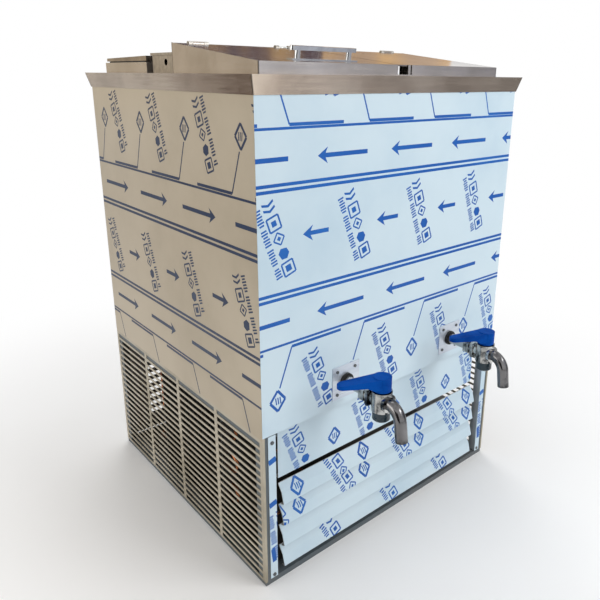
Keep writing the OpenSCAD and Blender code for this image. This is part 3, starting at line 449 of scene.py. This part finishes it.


# %% [markdown]
# ### Stainless steel
# Sheet steel is brushed: its scratches all run one way. The grain changes roughness and
# a very shallow bump, and clouds of old rinse water take the shine off in places. On the
# valves and the spouts the clouds instead lay painted dark reflections over the chrome.


# %% Steel, paint, plastic and the rest
def brushed_steel(name, colour, dull_and_reflected, rough, stretch, metal=0.9, cloud_size=3.0, streak=0.35,
                  mitre_shade_box=None):
    """Brushed sheet. The box (low, high), if given, puts a painted shadow line along its corner mitres."""
    material, tree, shader = new_material(name, rough, metal)
    grain = place_group(tree, brushed_grain, Stretch=stretch)
    marks = place_group(tree, smudges, Size=cloud_size, Sharpness=0.3)
    colour_out = blend_colours(tree, marks.outputs["Cloud"], colour, dull_and_reflected)
    if mitre_shade_box:
        low, high = mitre_shade_box
        seam = place_group(
            tree, mitre_seam, Half_X=high.x, Half_Y=(high.y - low.y) / 2, Centre_Y=(high.y + low.y) / 2,
            Width=mm(3.2))
        # Painted shade: a dark line along the corner mitres, where the corners fall in shadow.
        corner_shade = blend_colours(tree, seam.outputs["Seam"], colour, written(52, 42, 36))
        tree.links.new(colour_out, corner_shade.node.inputs[6])
        colour_out = corner_shade
    streaks = tree.nodes.new("ShaderNodeMix")
    streaks.data_type = "RGBA"
    streaks.blend_type = "OVERLAY"
    streaks.inputs[0].default_value = streak
    tree.links.new(colour_out, streaks.inputs[6])
    tree.links.new(grain.outputs["Bands"], streaks.inputs[7])
    tree.links.new(streaks.outputs[2], shader.inputs["Base Color"])
    tree.links.new(spread(tree, grain.outputs["Grain"], rough - 0.1, rough + 0.14),
                   shader.inputs["Roughness"])
    add_bump(tree, shader, grain.outputs["Grain"], mm(0.05))
    return material


def painted(name, colour, dusty, rough, size=6.0):
    material, tree, shader = new_material(name, rough)
    marks = place_group(tree, smudges, Size=size, Sharpness=0.2)
    tree.links.new(blend_colours(tree, marks.outputs["Cloud"], colour, dusty),
                   shader.inputs["Base Color"])
    tree.links.new(spread(tree, marks.outputs["Cloud"], rough - 0.06, rough + 0.12),
                   shader.inputs["Roughness"])
    add_bump(tree, shader, marks.outputs["Specks"], mm(0.08))
    return material


def moulded(name, colour, worn, rough, specular=0.4):
    material, tree, shader = new_material(name, rough)
    shader.inputs["Specular IOR Level"].default_value = specular
    marks = place_group(tree, smudges, Size=14.0, Sharpness=0.4)
    tree.links.new(blend_colours(tree, marks.outputs["Cloud"], colour, worn),
                   shader.inputs["Base Color"])
    tree.links.new(spread(tree, marks.outputs["Cloud"], rough, rough + 0.12),
                   shader.inputs["Roughness"])
    add_bump(tree, shader, marks.outputs["Specks"], mm(0.05))
    return material


along_x, along_z, all_ways, faint = (5, 700, 700), (700, 700, 5), (260, 260, 260), (9, 9, 160)
finish = {
    # The rim and the upstand get a painted shadow line along their corner mitres.
    "rim": brushed_steel("steel_rim", written(212, 197, 180), written(184, 168, 152), 0.2, faint,
                         cloud_size=5.0, streak=0.12, mitre_shade_box=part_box("rim_band")),
    "upstand": brushed_steel("steel_upstand", written(190, 185, 181), written(172, 166, 160), 0.2, faint,
                             cloud_size=5.0, streak=0.12, mitre_shade_box=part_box("front_upstand")),
    "bridge": brushed_steel("steel_bridge", written(176, 172, 166), written(150, 144, 136), 0.3, along_x),
    "back": brushed_steel("steel_back", written(184, 184, 182), written(172, 172, 168), 0.34, along_z,
                          streak=0.2),
    "strip": brushed_steel("steel_strip", written(206, 214, 220), written(190, 198, 204), 0.34, along_z,
                           metal=0.5),
    # The plates inside the bay are written near black: painted shade in the machine bay, not the steel's
    # colour.
    "deck": brushed_steel("steel_deck_painted_shade", written(66, 64, 60), written(50, 48, 44), 0.5, all_ways),
    "vessel": brushed_steel("steel_vessel", written(184, 188, 190), written(166, 170, 172), 0.28, all_ways),
    "lid": brushed_steel("steel_lid", written(170, 162, 154), written(132, 124, 118), 0.13, along_x,
                         metal=1.0, cloud_size=5.0, streak=0.2),
    "polished": brushed_steel("steel_polished", written(200, 202, 204), written(176, 178, 180), 0.14,
                              all_ways, metal=1.0),
    "plate": brushed_steel("steel_plate", written(206, 214, 224), written(190, 198, 210), 0.3, along_x,
                           metal=0.6),
    # Valve and spout: the near black second colour, laid in clouds, is painted dark reflection on chrome.
    "valve": brushed_steel("steel_valve", written(198, 199, 197), written(44, 47, 50), 0.11, all_ways,
                           metal=1.0, cloud_size=44.0),
    "spout": brushed_steel("steel_spout", written(122, 121, 122), written(30, 32, 35), 0.11, all_ways,
                           metal=1.0, cloud_size=24.0),
    "fins": brushed_steel("fin_aluminium", written(96, 98, 98), written(72, 72, 70), 0.45, along_z),
    "copper": brushed_steel("copper_tube", written(196, 124, 84), written(142, 86, 58), 0.26, all_ways,
                            metal=1.0, cloud_size=20.0),
    # The cream is written darker than the grille's paint: painted shade of the slats, laid on the whole
    # grille.
    "cream": painted("paint_cream", written(178, 169, 150), written(150, 141, 122), 0.42),
    "slate": painted("paint_slate", written(76, 86, 92), written(92, 96, 98), 0.45),
    "screw": painted("screw_dark", written(70, 76, 80), written(96, 98, 98), 0.4, 60.0),
    "black": painted("paint_black", written(40, 43, 46), written(66, 66, 64), 0.45),
    "motor": painted("motor_grey", written(104, 110, 114), written(88, 90, 90), 0.5),
    "box": painted("box_grey", written(120, 122, 124), written(100, 100, 98), 0.5),
    "foam": painted("foam_yellow", written(228, 216, 160), written(210, 196, 140), 0.85),
    "rubber": moulded("rubber_black", written(28, 28, 29), written(44, 44, 44), 0.6),
    "white": moulded("plastic_white", written(236, 236, 230), written(222, 222, 214), 0.4),
    "blue": moulded("plastic_blue", written(0, 76, 166), written(0, 56, 136), 0.5, specular=0.05),
    "teal": painted("cap_teal", written(22, 44, 54), written(40, 60, 70), 0.3, 30.0),
}
print("finishes:", len(finish))

# %% [markdown]
# ### Film
# The film is a thin sheet over the steel, so it is neither paint nor bare metal: pale,
# half glossy, with the ink printed in it. Both share the same waves and blisters.


# %% Film and ink
def film(name, colour, shaded, rough=0.34):
    material, tree, shader = new_material(name, rough)
    shader.inputs["Specular IOR Level"].default_value = 0.3
    surface = place_group(tree, film_surface, Blister_Size=46.0)
    marks = place_group(tree, smudges, Size=2.2, Sharpness=0.0)
    tree.links.new(blend_colours(tree, marks.outputs["Cloud"], colour, shaded),
                   shader.inputs["Base Color"])
    tree.links.new(spread(tree, surface.outputs["Blisters"], rough, rough + 0.2),
                   shader.inputs["Roughness"])
    add_bump(tree, shader, surface.outputs["Height"], mm(1.2), 0.35)
    return material


film_blue = film("film_pale_blue", written(204, 222, 232), written(188, 210, 224))
# The left side's beige film and navy ink are the pale blue film and blue ink with painted warm shade.
film_painted_shade_beige = film("film_painted_shade_beige", written(184, 172, 152), written(168, 156, 136))
ink_blue = film("ink_blue", written(16, 86, 170), written(28, 104, 186))
ink_painted_shade_navy = film("ink_painted_shade_navy", written(36, 50, 78), written(52, 66, 92))

# %% [markdown]
# Each solid keeps its mesh and only changes its material.

# %% Dress the solids
dress = {
    "rim": ["rim_band"],
    "upstand": ["front_upstand", "rear_upstand"],
    "bridge": ["bridge", "bridge_cover"],
    "back": ["back_panel", "back_cover", "front_panel", "left_panel", "right_panel", "front_fascia",
             "louvre_panel"],
    "strip": ["left_front_strip", "right_front_strip"],
    "deck": ["base_plate", "deck_plate"],
    "vessel": ["milk_vessel", "outlet_pipes", "agitator_paddle"],
    "lid": ["left_lid", "right_lid", "rear_lid"],
    "polished": ["left_lid_handle", "rear_lid_handle", "agitator_shaft", "left_ball", "right_ball",
                 "left_stem", "right_stem"],
    "plate": ["tap_plates"],
    "valve": ["left_valve_body", "right_valve_body", "lid_hinge_pins"],
    "spout": ["spouts"],
    "fins": ["condenser_fins", "fan"],
    "copper": ["evaporator_coil", "refrigerant_lines", "condenser_tubes", "filter_drier"],
    "cream": ["left_grille", "right_grille"],
    "slate": ["base_frame"],
    "screw": ["cover_screws", "tap_screws", "gland_nuts"],
    "black": ["compressor", "fan_shroud"],
    "motor": ["fan_motor", "agitator_gearmotor"],
    "box": ["control_box"],
    "foam": ["foam_insulation"],
    "rubber": ["lid_seals", "tap_collars", "compressor_mounts"],
    "white": ["agitator_bush", "valve_seats"],
    "blue": ["left_lever", "right_lever"],
    "teal": ["valve_caps"],
}
for finish_name, members in dress.items():
    for member in members:
        solid = nodes[member]
        solid.data.materials.clear()
        solid.data.materials.append(finish[finish_name])
undressed = set(nodes) - {member for members in dress.values() for member in members}
print("solids without a finish:", sorted(undressed))

# %% [markdown]
# The floor is pale and takes the shadow. Some way off the tank it fades, for the camera
# only, into the white of the background, so that no horizon shows.

# %% Floor
floor_material, floor_tree, floor_shader = new_material("floor_white", 0.6)
floor_marks = place_group(floor_tree, smudges, Size=1.0, Sharpness=0.0)
floor_tree.links.new(
    blend_colours(floor_tree, floor_marks.outputs["Cloud"], written(250, 250, 250), written(247, 247, 247)),
    floor_shader.inputs["Base Color"])
floor_place = floor_tree.nodes.new("ShaderNodeTexCoord")
floor_far = floor_tree.nodes.new("ShaderNodeVectorMath")
floor_far.operation = "LENGTH"
floor_fade = floor_tree.nodes.new("ShaderNodeMapRange")
floor_fade.interpolation_type = "SMOOTHSTEP"
floor_fade.inputs["From Min"].default_value = 0.7
floor_fade.inputs["From Max"].default_value = 1.9
floor_path = floor_tree.nodes.new("ShaderNodeLightPath")
floor_seen = floor_tree.nodes.new("ShaderNodeMath")
floor_seen.operation = "MULTIPLY"
floor_white = floor_tree.nodes.new("ShaderNodeEmission")
floor_mix = floor_tree.nodes.new("ShaderNodeMixShader")
floor_out = floor_tree.nodes["Material Output"]
floor_tree.links.new(floor_place.outputs["Object"], floor_far.inputs[0])
floor_tree.links.new(floor_far.outputs["Value"], floor_fade.inputs["Value"])
floor_tree.links.new(floor_fade.outputs["Result"], floor_seen.inputs[0])
floor_tree.links.new(floor_path.outputs["Is Camera Ray"], floor_seen.inputs[1])
floor_tree.links.new(floor_seen.outputs[0], floor_mix.inputs[0])
floor_tree.links.new(floor_shader.outputs[0], floor_mix.inputs[1])
floor_tree.links.new(floor_white.outputs[0], floor_mix.inputs[2])
floor_tree.links.new(floor_mix.outputs[0], floor_out.inputs["Surface"])
floor.data.materials.append(floor_material)

# %% [markdown]
# ## The printed film
# The print is drawn as flat outlines in millimetres, `u` to the right and `v` up. All the
# outlines go through one triangulation together with the sheet's own edge. Each triangle
# then knows whether it is ink or bare film, so sheet and ink are one thin closed piece
# and nothing lies in front of anything else.


# %% Outlines of the print
def bar(u0, v0, u1, v1, thick):
    """A straight stroke from one point to another."""
    along = Vector((u1 - u0, v1 - v0)).normalized() * (thick / 2)
    side = Vector((-along.y, along.x))
    start, end = Vector((u0, v0)), Vector((u1, v1))
    return [start + side, start - side, end - side, end + side]


def arrow(tip, v, length, thick=10.0, barb=28.0, spread_v=36.0, way=1):
    """An arrow with swept barbs. It points to -u, or to +u with way = -1."""
    notch = barb * 0.78
    half, reach = thick / 2, spread_v / 2
    shape = [(0, 0), (barb, reach), (notch, half), (length, half),
             (length, -half), (notch, -half), (barb, -reach)]
    return [Vector((tip + way * a, v + b)) for a, b in shape]


def rectangle(u0, v0, u1, v1):
    return [(u0, v0), (u1, v0), (u1, v1), (u0, v1)]


def frame_of_bars(corners, thick):
    """The outline of a closed shape, drawn as one stroke for each side."""
    return [bar(*corners[i], *corners[(i + 1) % len(corners)], thick) for i in range(len(corners))]


def diamond(u, v, reach):
    return [(u, v + reach), (u - reach * 0.8, v), (u, v - reach), (u + reach * 0.8, v)]


def turned(u, v, along, across, outline):
    """An outline given along and across a leaning row, brought to its place on the sheet."""
    return [tuple(Vector((u, v)) + along * a + across * b) for a, b in outline]


def leaning_marks(u, v, length, lean=0.36, way=1, signs=5):
    """A leaning column: a row of fine tally strokes, and beside it a row of plain signs."""
    along = Vector((lean * way, -1)).normalized()
    across = Vector((-along.y, along.x))
    shapes = []

    def box_at(a, b, r):
        return turned(u, v, along, across, rectangle(a - r, b - r, a + r, b + r))

    def diamond_at(a, b, r):
        return turned(u, v, along, across, [(a - r, b), (a, b - r), (a + r, b), (a, b + r)])

    stroke_pitch, stroke, group_of = 6.6, 4.0, 7
    for i in range(int(length / stroke_pitch)):
        if i % group_of == group_of - 1:
            continue
        reach = (8.5, 6.0, 8.5, 7.2)[i % 4]
        a = i * stroke_pitch
        shapes.append(turned(u, v, along, across, [
            (a, -reach), (a + stroke, -reach), (a + stroke, reach), (a, reach)]))
    pitch = length / (signs - 0.4)
    for i in range(signs):
        a, b, r = (i + 0.22) * pitch, 29.0, 0.42 * pitch
        if i == 0:
            for shift in (-0.95, -0.1):
                o = a + shift * r
                shapes.append(turned(u, v, along, across, [
                    (o, b - r), (o + 0.36 * r, b - r), (o + 0.8 * r, b), (o + 0.36 * r, b + r), (o, b + r),
                    (o + 0.42 * r, b)]))
        elif i in (1, 4):
            shapes += frame_of_bars(box_at(a, b, r), 4.2)
            shapes.append(box_at(a, b, r * (0.42 if i == 1 else 0.5)))
        elif i == 2:
            r *= 0.95
            shapes += frame_of_bars(diamond_at(a, b, r), 3.6)
            shapes.append(diamond_at(a, b, r * 0.4))
        else:
            shapes.append(turned(u, v, along, across, [
                (a - r * 0.9, b - 0.3 * r), (a - 0.3 * r, b - 0.9 * r), (a + 0.7 * r, b - 0.6 * r),
                (a + 0.9 * r, b + 0.3 * r), (a + 0.2 * r, b + 0.9 * r), (a - 0.6 * r, b + 0.7 * r)]))
    return shapes


def badge(u, v, reach=26, lean=0.36):
    """A diamond with three short strokes in it."""
    shapes = frame_of_bars(diamond(u, v, reach), 6.4)
    for i in (-1, 0, 1):
        shapes.append(bar(u + 6 * i, v + 0.34 * reach, u + 6 * i + lean * 7, v - 0.34 * reach, 3.2))
    return shapes


# %% [markdown]
# The rows of the print come back across the sheet at one pitch. Front and side were cut
# from differently laid sheets, so each has its own pitch and its own row heights.


# %% Rows of the print
def repeat(first, pitch, low, high):
    """Positions from first in steps of pitch, as many as touch the stretch low to high."""
    start = math.floor((low - first) / pitch)
    count = math.ceil((high - low) / pitch) + 2
    return [first + (start + i) * pitch for i in range(count)]


def leader_row(v_line, v_end, first, pitch, span, dash_v):
    """Thick dashes beside a line, each with a thin slanted leader that ends in a diamond."""
    dash, dash_thick, leader_thick = 147, 7.0, 4.0
    badge_left, badge_past = 6, 30
    shapes = []
    toward = 1 if v_end > v_line else -1
    slant = 0.34 * abs(v_end - v_line)
    for foot in repeat(first, pitch, *span):
        shapes.append(bar(foot, dash_v, foot + dash, dash_v, dash_thick))
        shapes.append(bar(foot, dash_v, foot - slant, v_end, leader_thick))
        shapes += badge(foot - slant - badge_left, v_end + toward * badge_past)
    return shapes


def level(v, span, thick=5.6):
    return [bar(span[0], v, span[1], v, thick)]


def double_level(v, span):
    return level(v - 6.0, span, 7.2) + level(v + 6.0, span, 7.2)


def arrow_row(v, first, pitch, length, span, way=1):
    return [arrow(tip, v, length, way=way) for tip in repeat(first, pitch, span[0] - 200, span[1] + 60)]


def column_row(v_top, length, first, pitch, span, way=1):
    shapes = []
    for u in repeat(first, pitch, span[0] - 60, span[1]):
        shapes += leaning_marks(u, v_top, length, way=way)
    return shapes


# %% Build one sheet of film
def film_sheet(name, outline, marks, place, film_material, ink_material,
               holes=(), folds=(), flip=False, thick=mm(0.2)):
    """Triangulates the print into a sheet and lays it on the metal with place(u, v)."""
    points, edges, loops = [], [], []

    def add_loop(loop):
        """All loops have to run the same way round, against the clock."""
        loop = [Vector(p) for p in loop]
        area = sum(a.x * b.y - b.x * a.y for a, b in zip(loop, loop[1:] + loop[:1]))
        if area < 0:
            loop.reverse()
        start = len(points)
        points.extend(loop)
        loops.append(list(range(start, start + len(loop))))

    add_loop(outline)
    for loop in list(holes) + list(marks):
        add_loop(loop)
    hole_ids = set(range(1, 1 + len(holes)))
    first_mark = 1 + len(holes)
    for a, b in folds:
        edges.append((len(points), len(points) + 1))
        points.extend((Vector(a), Vector(b)))
    corners, _, faces, _, _, sources = delaunay_2d_cdt(points, edges, loops, 0, 1e-4)
    sheet = bmesh.new()
    spots = [sheet.verts.new(place(c.x, c.y)) for c in corners]
    for face, origin in zip(faces, sources):
        if 0 not in origin or hole_ids & set(origin):
            continue
        made = sheet.faces.new([spots[i] for i in face])
        made.material_index = int(any(i >= first_mark for i in origin))
    if flip:
        bmesh.ops.reverse_faces(sheet, faces=sheet.faces[:])
    loose = [v for v in sheet.verts if not v.link_faces]
    bmesh.ops.delete(sheet, geom=loose, context="VERTS")
    mesh = bpy.data.meshes.new(name)
    sheet.to_mesh(mesh)
    sheet.free()
    mesh.materials.append(film_material)
    mesh.materials.append(ink_material)
    piece = bpy.data.objects.new(name, mesh)
    bpy.context.scene.collection.objects.link(piece)
    solid = piece.modifiers.new("film_thickness", "SOLIDIFY")
    solid.thickness = thick
    solid.offset = 1.0
    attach(piece, "tank")
    print(name, "faces:", len(mesh.polygons))
    return piece


# %% [markdown]
# ### Front sheet
# The front panel is folded round both corners. On the right its film goes round with it,
# and on the left the side sheet overlaps it up to the corner, as the photograph shows. The
# film is cut out where the taps' plates sit on the steel.

# %% Front sheet
unit = 1000 * rim_top
front_w, turn_back = 1000 * body_w, 15.0
film_low, film_high = 1000 * bay_top, unit - 36
pitch_front = 0.187 * unit
span_front = (-2, front_w + turn_back + 2)

front_marks = (
    leader_row(0.9146 * unit, 1.02 * unit, 0.070 * unit, pitch_front, span_front, 0.9205 * unit)
    + column_row(1.085 * unit, 0.13 * unit, 0.113 * unit, pitch_front, span_front)
    + level(0.9146 * unit, span_front)
    + arrow_row(0.864 * unit, 0.132 * unit, pitch_front, 0.122 * unit, span_front)
    + double_level(0.816 * unit, span_front)
    + column_row(0.782 * unit, 0.138 * unit, 0.0 * unit, pitch_front, span_front)
    + arrow_row(0.727 * unit, 0.098 * unit, pitch_front, 0.061 * unit, span_front)
    + double_level(0.621 * unit, span_front)
    + arrow_row(0.571 * unit, 0.132 * unit, pitch_front, 0.122 * unit, span_front)
    + level(0.525 * unit, span_front)
    + leader_row(0.525 * unit, 0.439 * unit, 0.071 * unit, pitch_front, span_front, 0.5165 * unit)
    + column_row(0.482 * unit, 0.13 * unit, 0.100 * unit, pitch_front, span_front)
)


def place_front(u, v):
    u, v = mm(u), mm(v)
    if u > body_w:
        return Vector((right_x, front_y + (u - body_w), v))
    return Vector((left_x + u, front_y, v))


plate_low, plate_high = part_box("tap_plates")
plate_w = plate_high.z - plate_low.z
plate_left = [(plate_low.x - left_x), (plate_high.x - plate_w - left_x)]
plate_holes = [
    rectangle(1000 * u, 1000 * plate_low.z, 1000 * (u + plate_w), 1000 * plate_high.z) for u in plate_left]
film_sheet(
    "front_film", rectangle(0, film_low, front_w + turn_back, film_high), front_marks,
    place_front, film_blue, ink_blue, holes=plate_holes,
    folds=[((front_w, film_low), (front_w, film_high))])

# %% [markdown]
# ### Side sheets
# The left sheet is written beige with navy print: the front's pale blue film and blue ink
# with painted warm shade. Its arrows point to the front. The right side mirrors the left,
# because it isn't seen and a maker would cut both from one stack.

# %% Side sheets
pitch_side = 0.1935 * unit
side_low = 1000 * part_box("left_panel")[0].z
side_span = (0, 1000 * body_d)
side_marks = (
    column_row(0.962 * unit, 0.13 * unit, 0.165 * unit, pitch_side, side_span, way=-1)
    + leader_row(0.795 * unit, 0.876 * unit, 0.073 * unit, pitch_side, side_span, 0.8015 * unit)
    + level(0.795 * unit, side_span)
    + arrow_row(0.748 * unit, 0.134 * unit, pitch_side, 0.126 * unit, side_span)
    + double_level(0.699 * unit, side_span)
    + column_row(0.658 * unit, 0.13 * unit, 0.049 * unit, pitch_side, side_span, way=-1)
    + arrow_row(0.590 * unit, 0.101 * unit, pitch_side, 0.058 * unit, side_span)
    + double_level(0.505 * unit, side_span)
    + arrow_row(0.456 * unit, 0.135 * unit, pitch_side, 0.121 * unit, side_span)
    + level(0.411 * unit, side_span)
    + leader_row(0.411 * unit, 0.33 * unit, 0.064 * unit, pitch_side, side_span, 0.4035 * unit)
)
film_drop = 24.0  # how far the sheet runs down over the grille's top edge
side_end = 1000 * body_d - 1.5
# The left sheet takes the painted shade copies of the film: beige film and navy ink.
film_sheet("left_film", rectangle(0.4, side_low - film_drop, side_end, film_high), side_marks,
           lambda u, v: Vector((left_x, front_y + mm(u), mm(v))),
           film_painted_shade_beige, ink_painted_shade_navy, flip=True)
film_sheet("right_film", rectangle(turn_back + 0.4, side_low - film_drop, side_end, film_high), side_marks,
           lambda u, v: Vector((right_x, front_y + mm(u), mm(v))), film_blue, ink_blue)

# %% [markdown]
# ### Sheets on the machine bay
# The fascia, the blades and the corner strips were cut from the same sheet, so their
# print comes in pieces. Each blade has two flat stretches with a bend between them. Its
# film is laid out flat and then folded over the bend: `s` is the way down along the steel.

# %% Fascia and blades
fascia_low, fascia_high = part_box("front_fascia")
panel_y = fascia_low.y
fascia_u = (1000 * (fascia_low.x - left_x), 1000 * (fascia_high.x - left_x))
small_badge, cut_column = 24, 0.07 * unit
fascia_marks = []
for u in repeat(0.066 * unit, pitch_front, *fascia_u):
    fascia_marks += leaning_marks(u, 0.318 * unit, 0.1 * unit, signs=4)
for u in repeat(0.198 * unit, pitch_front, *fascia_u):
    fascia_marks += badge(u, 0.262 * unit, small_badge)
film_sheet(
    "fascia_film", rectangle(fascia_u[0], 1000 * fascia_low.z, fascia_u[1], 1000 * fascia_high.z),
    fascia_marks, lambda u, v: Vector((left_x + mm(u), panel_y, mm(v))),
    film_blue, ink_blue)

louvre_low, louvre_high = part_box("louvre_panel")
blade_count = 4
blade_out = 1000 * (panel_y - louvre_low.y)
blade_pitch = 1000 * (louvre_high.z - louvre_low.z) / blade_count
bends = [(0.0, 0.0), (0.62 * blade_out, 0.34 * blade_pitch), (blade_out, 0.82 * blade_pitch)]
ways = [0.0]
for (y0, z0), (y1, z1) in zip(bends, bends[1:]):
    ways.append(ways[-1] + math.hypot(y1 - y0, z1 - z0))


def place_blade(top_z):
    """Returns the rule that folds a flat sheet over the blade that starts at top_z."""
    def place(u, v):
        s = -v
        for i in range(len(bends) - 1):
            if s <= ways[i + 1] + 1e-6 or i == len(bends) - 2:
                t = (s - ways[i]) / (ways[i + 1] - ways[i])
                out = bends[i][0] + t * (bends[i + 1][0] - bends[i][0])
                down = bends[i][1] + t * (bends[i + 1][1] - bends[i][1])
                return Vector((left_x + mm(u), panel_y - mm(out), top_z - mm(down)))
    return place


blade_marks = [
    [badge(u, -26, small_badge) for u in repeat(0.088 * unit, pitch_front, *fascia_u)]
    + [leaning_marks(u, 8, cut_column, signs=3) for u in repeat(0.168 * unit, pitch_front, *fascia_u)],
    [badge(u, -24, small_badge) for u in repeat(0.094 * unit, pitch_front, *fascia_u)]
    + [leaning_marks(u, 6, cut_column, signs=3) for u in repeat(0.196 * unit, pitch_front, *fascia_u)],
    [],
    [leaning_marks(u, -12, cut_column, signs=3) for u in repeat(0.158 * unit, pitch_front, *fascia_u)],
]
for k in range(blade_count):
    top = mm(1000 * louvre_high.z - k * blade_pitch)
    film_sheet(
        f"blade_film_{k + 1}", rectangle(fascia_u[0], -ways[-1], fascia_u[1], -0.5),
        [shape for group in blade_marks[k] for shape in group],
        place_blade(top), film_blue, ink_blue,
        folds=[((fascia_u[0], -ways[1]), (fascia_u[1], -ways[1]))])

# %% Corner strips
screws_low, screws_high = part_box("cover_screws")
head_r, hole_r, hole_sides = 4.5, 5.4, 16
band_heights, band_thick = (0.291 * unit, 0.193 * unit), 15.0
for strip_name in ("left_front_strip", "right_front_strip"):
    strip_low, strip_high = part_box(strip_name)
    strip_u = (1000 * (strip_low.x - left_x), 1000 * (strip_high.x - left_x))
    middle = (strip_u[0] + strip_u[1]) / 2
    strip_marks = leaning_marks(strip_u[0] + 2, 0.165 * unit, 0.12 * unit, lean=0.12)
    strip_marks.append(bar(middle - 3, 0.085 * unit, middle + 2, 0.052 * unit, 12.0))
    for v in band_heights:
        strip_marks.append(bar(strip_u[0], v - 4, strip_u[1], v + 2, band_thick))
    screw_holes = []
    for v in (screws_low.z * 1000 + head_r, screws_high.z * 1000 - head_r):
        turns = [2 * math.pi * i / hole_sides for i in range(hole_sides)]
        screw_holes.append([(middle + hole_r * math.cos(a), v + hole_r * math.sin(a)) for a in turns])
    film_sheet(
        strip_name.replace("strip", "strip_film"),
        rectangle(strip_u[0], 1000 * strip_low.z, strip_u[1], 1000 * strip_high.z), strip_marks,
        lambda u, v: Vector((left_x + mm(u), front_y, mm(v))), film_blue, ink_blue,
        holes=screw_holes)
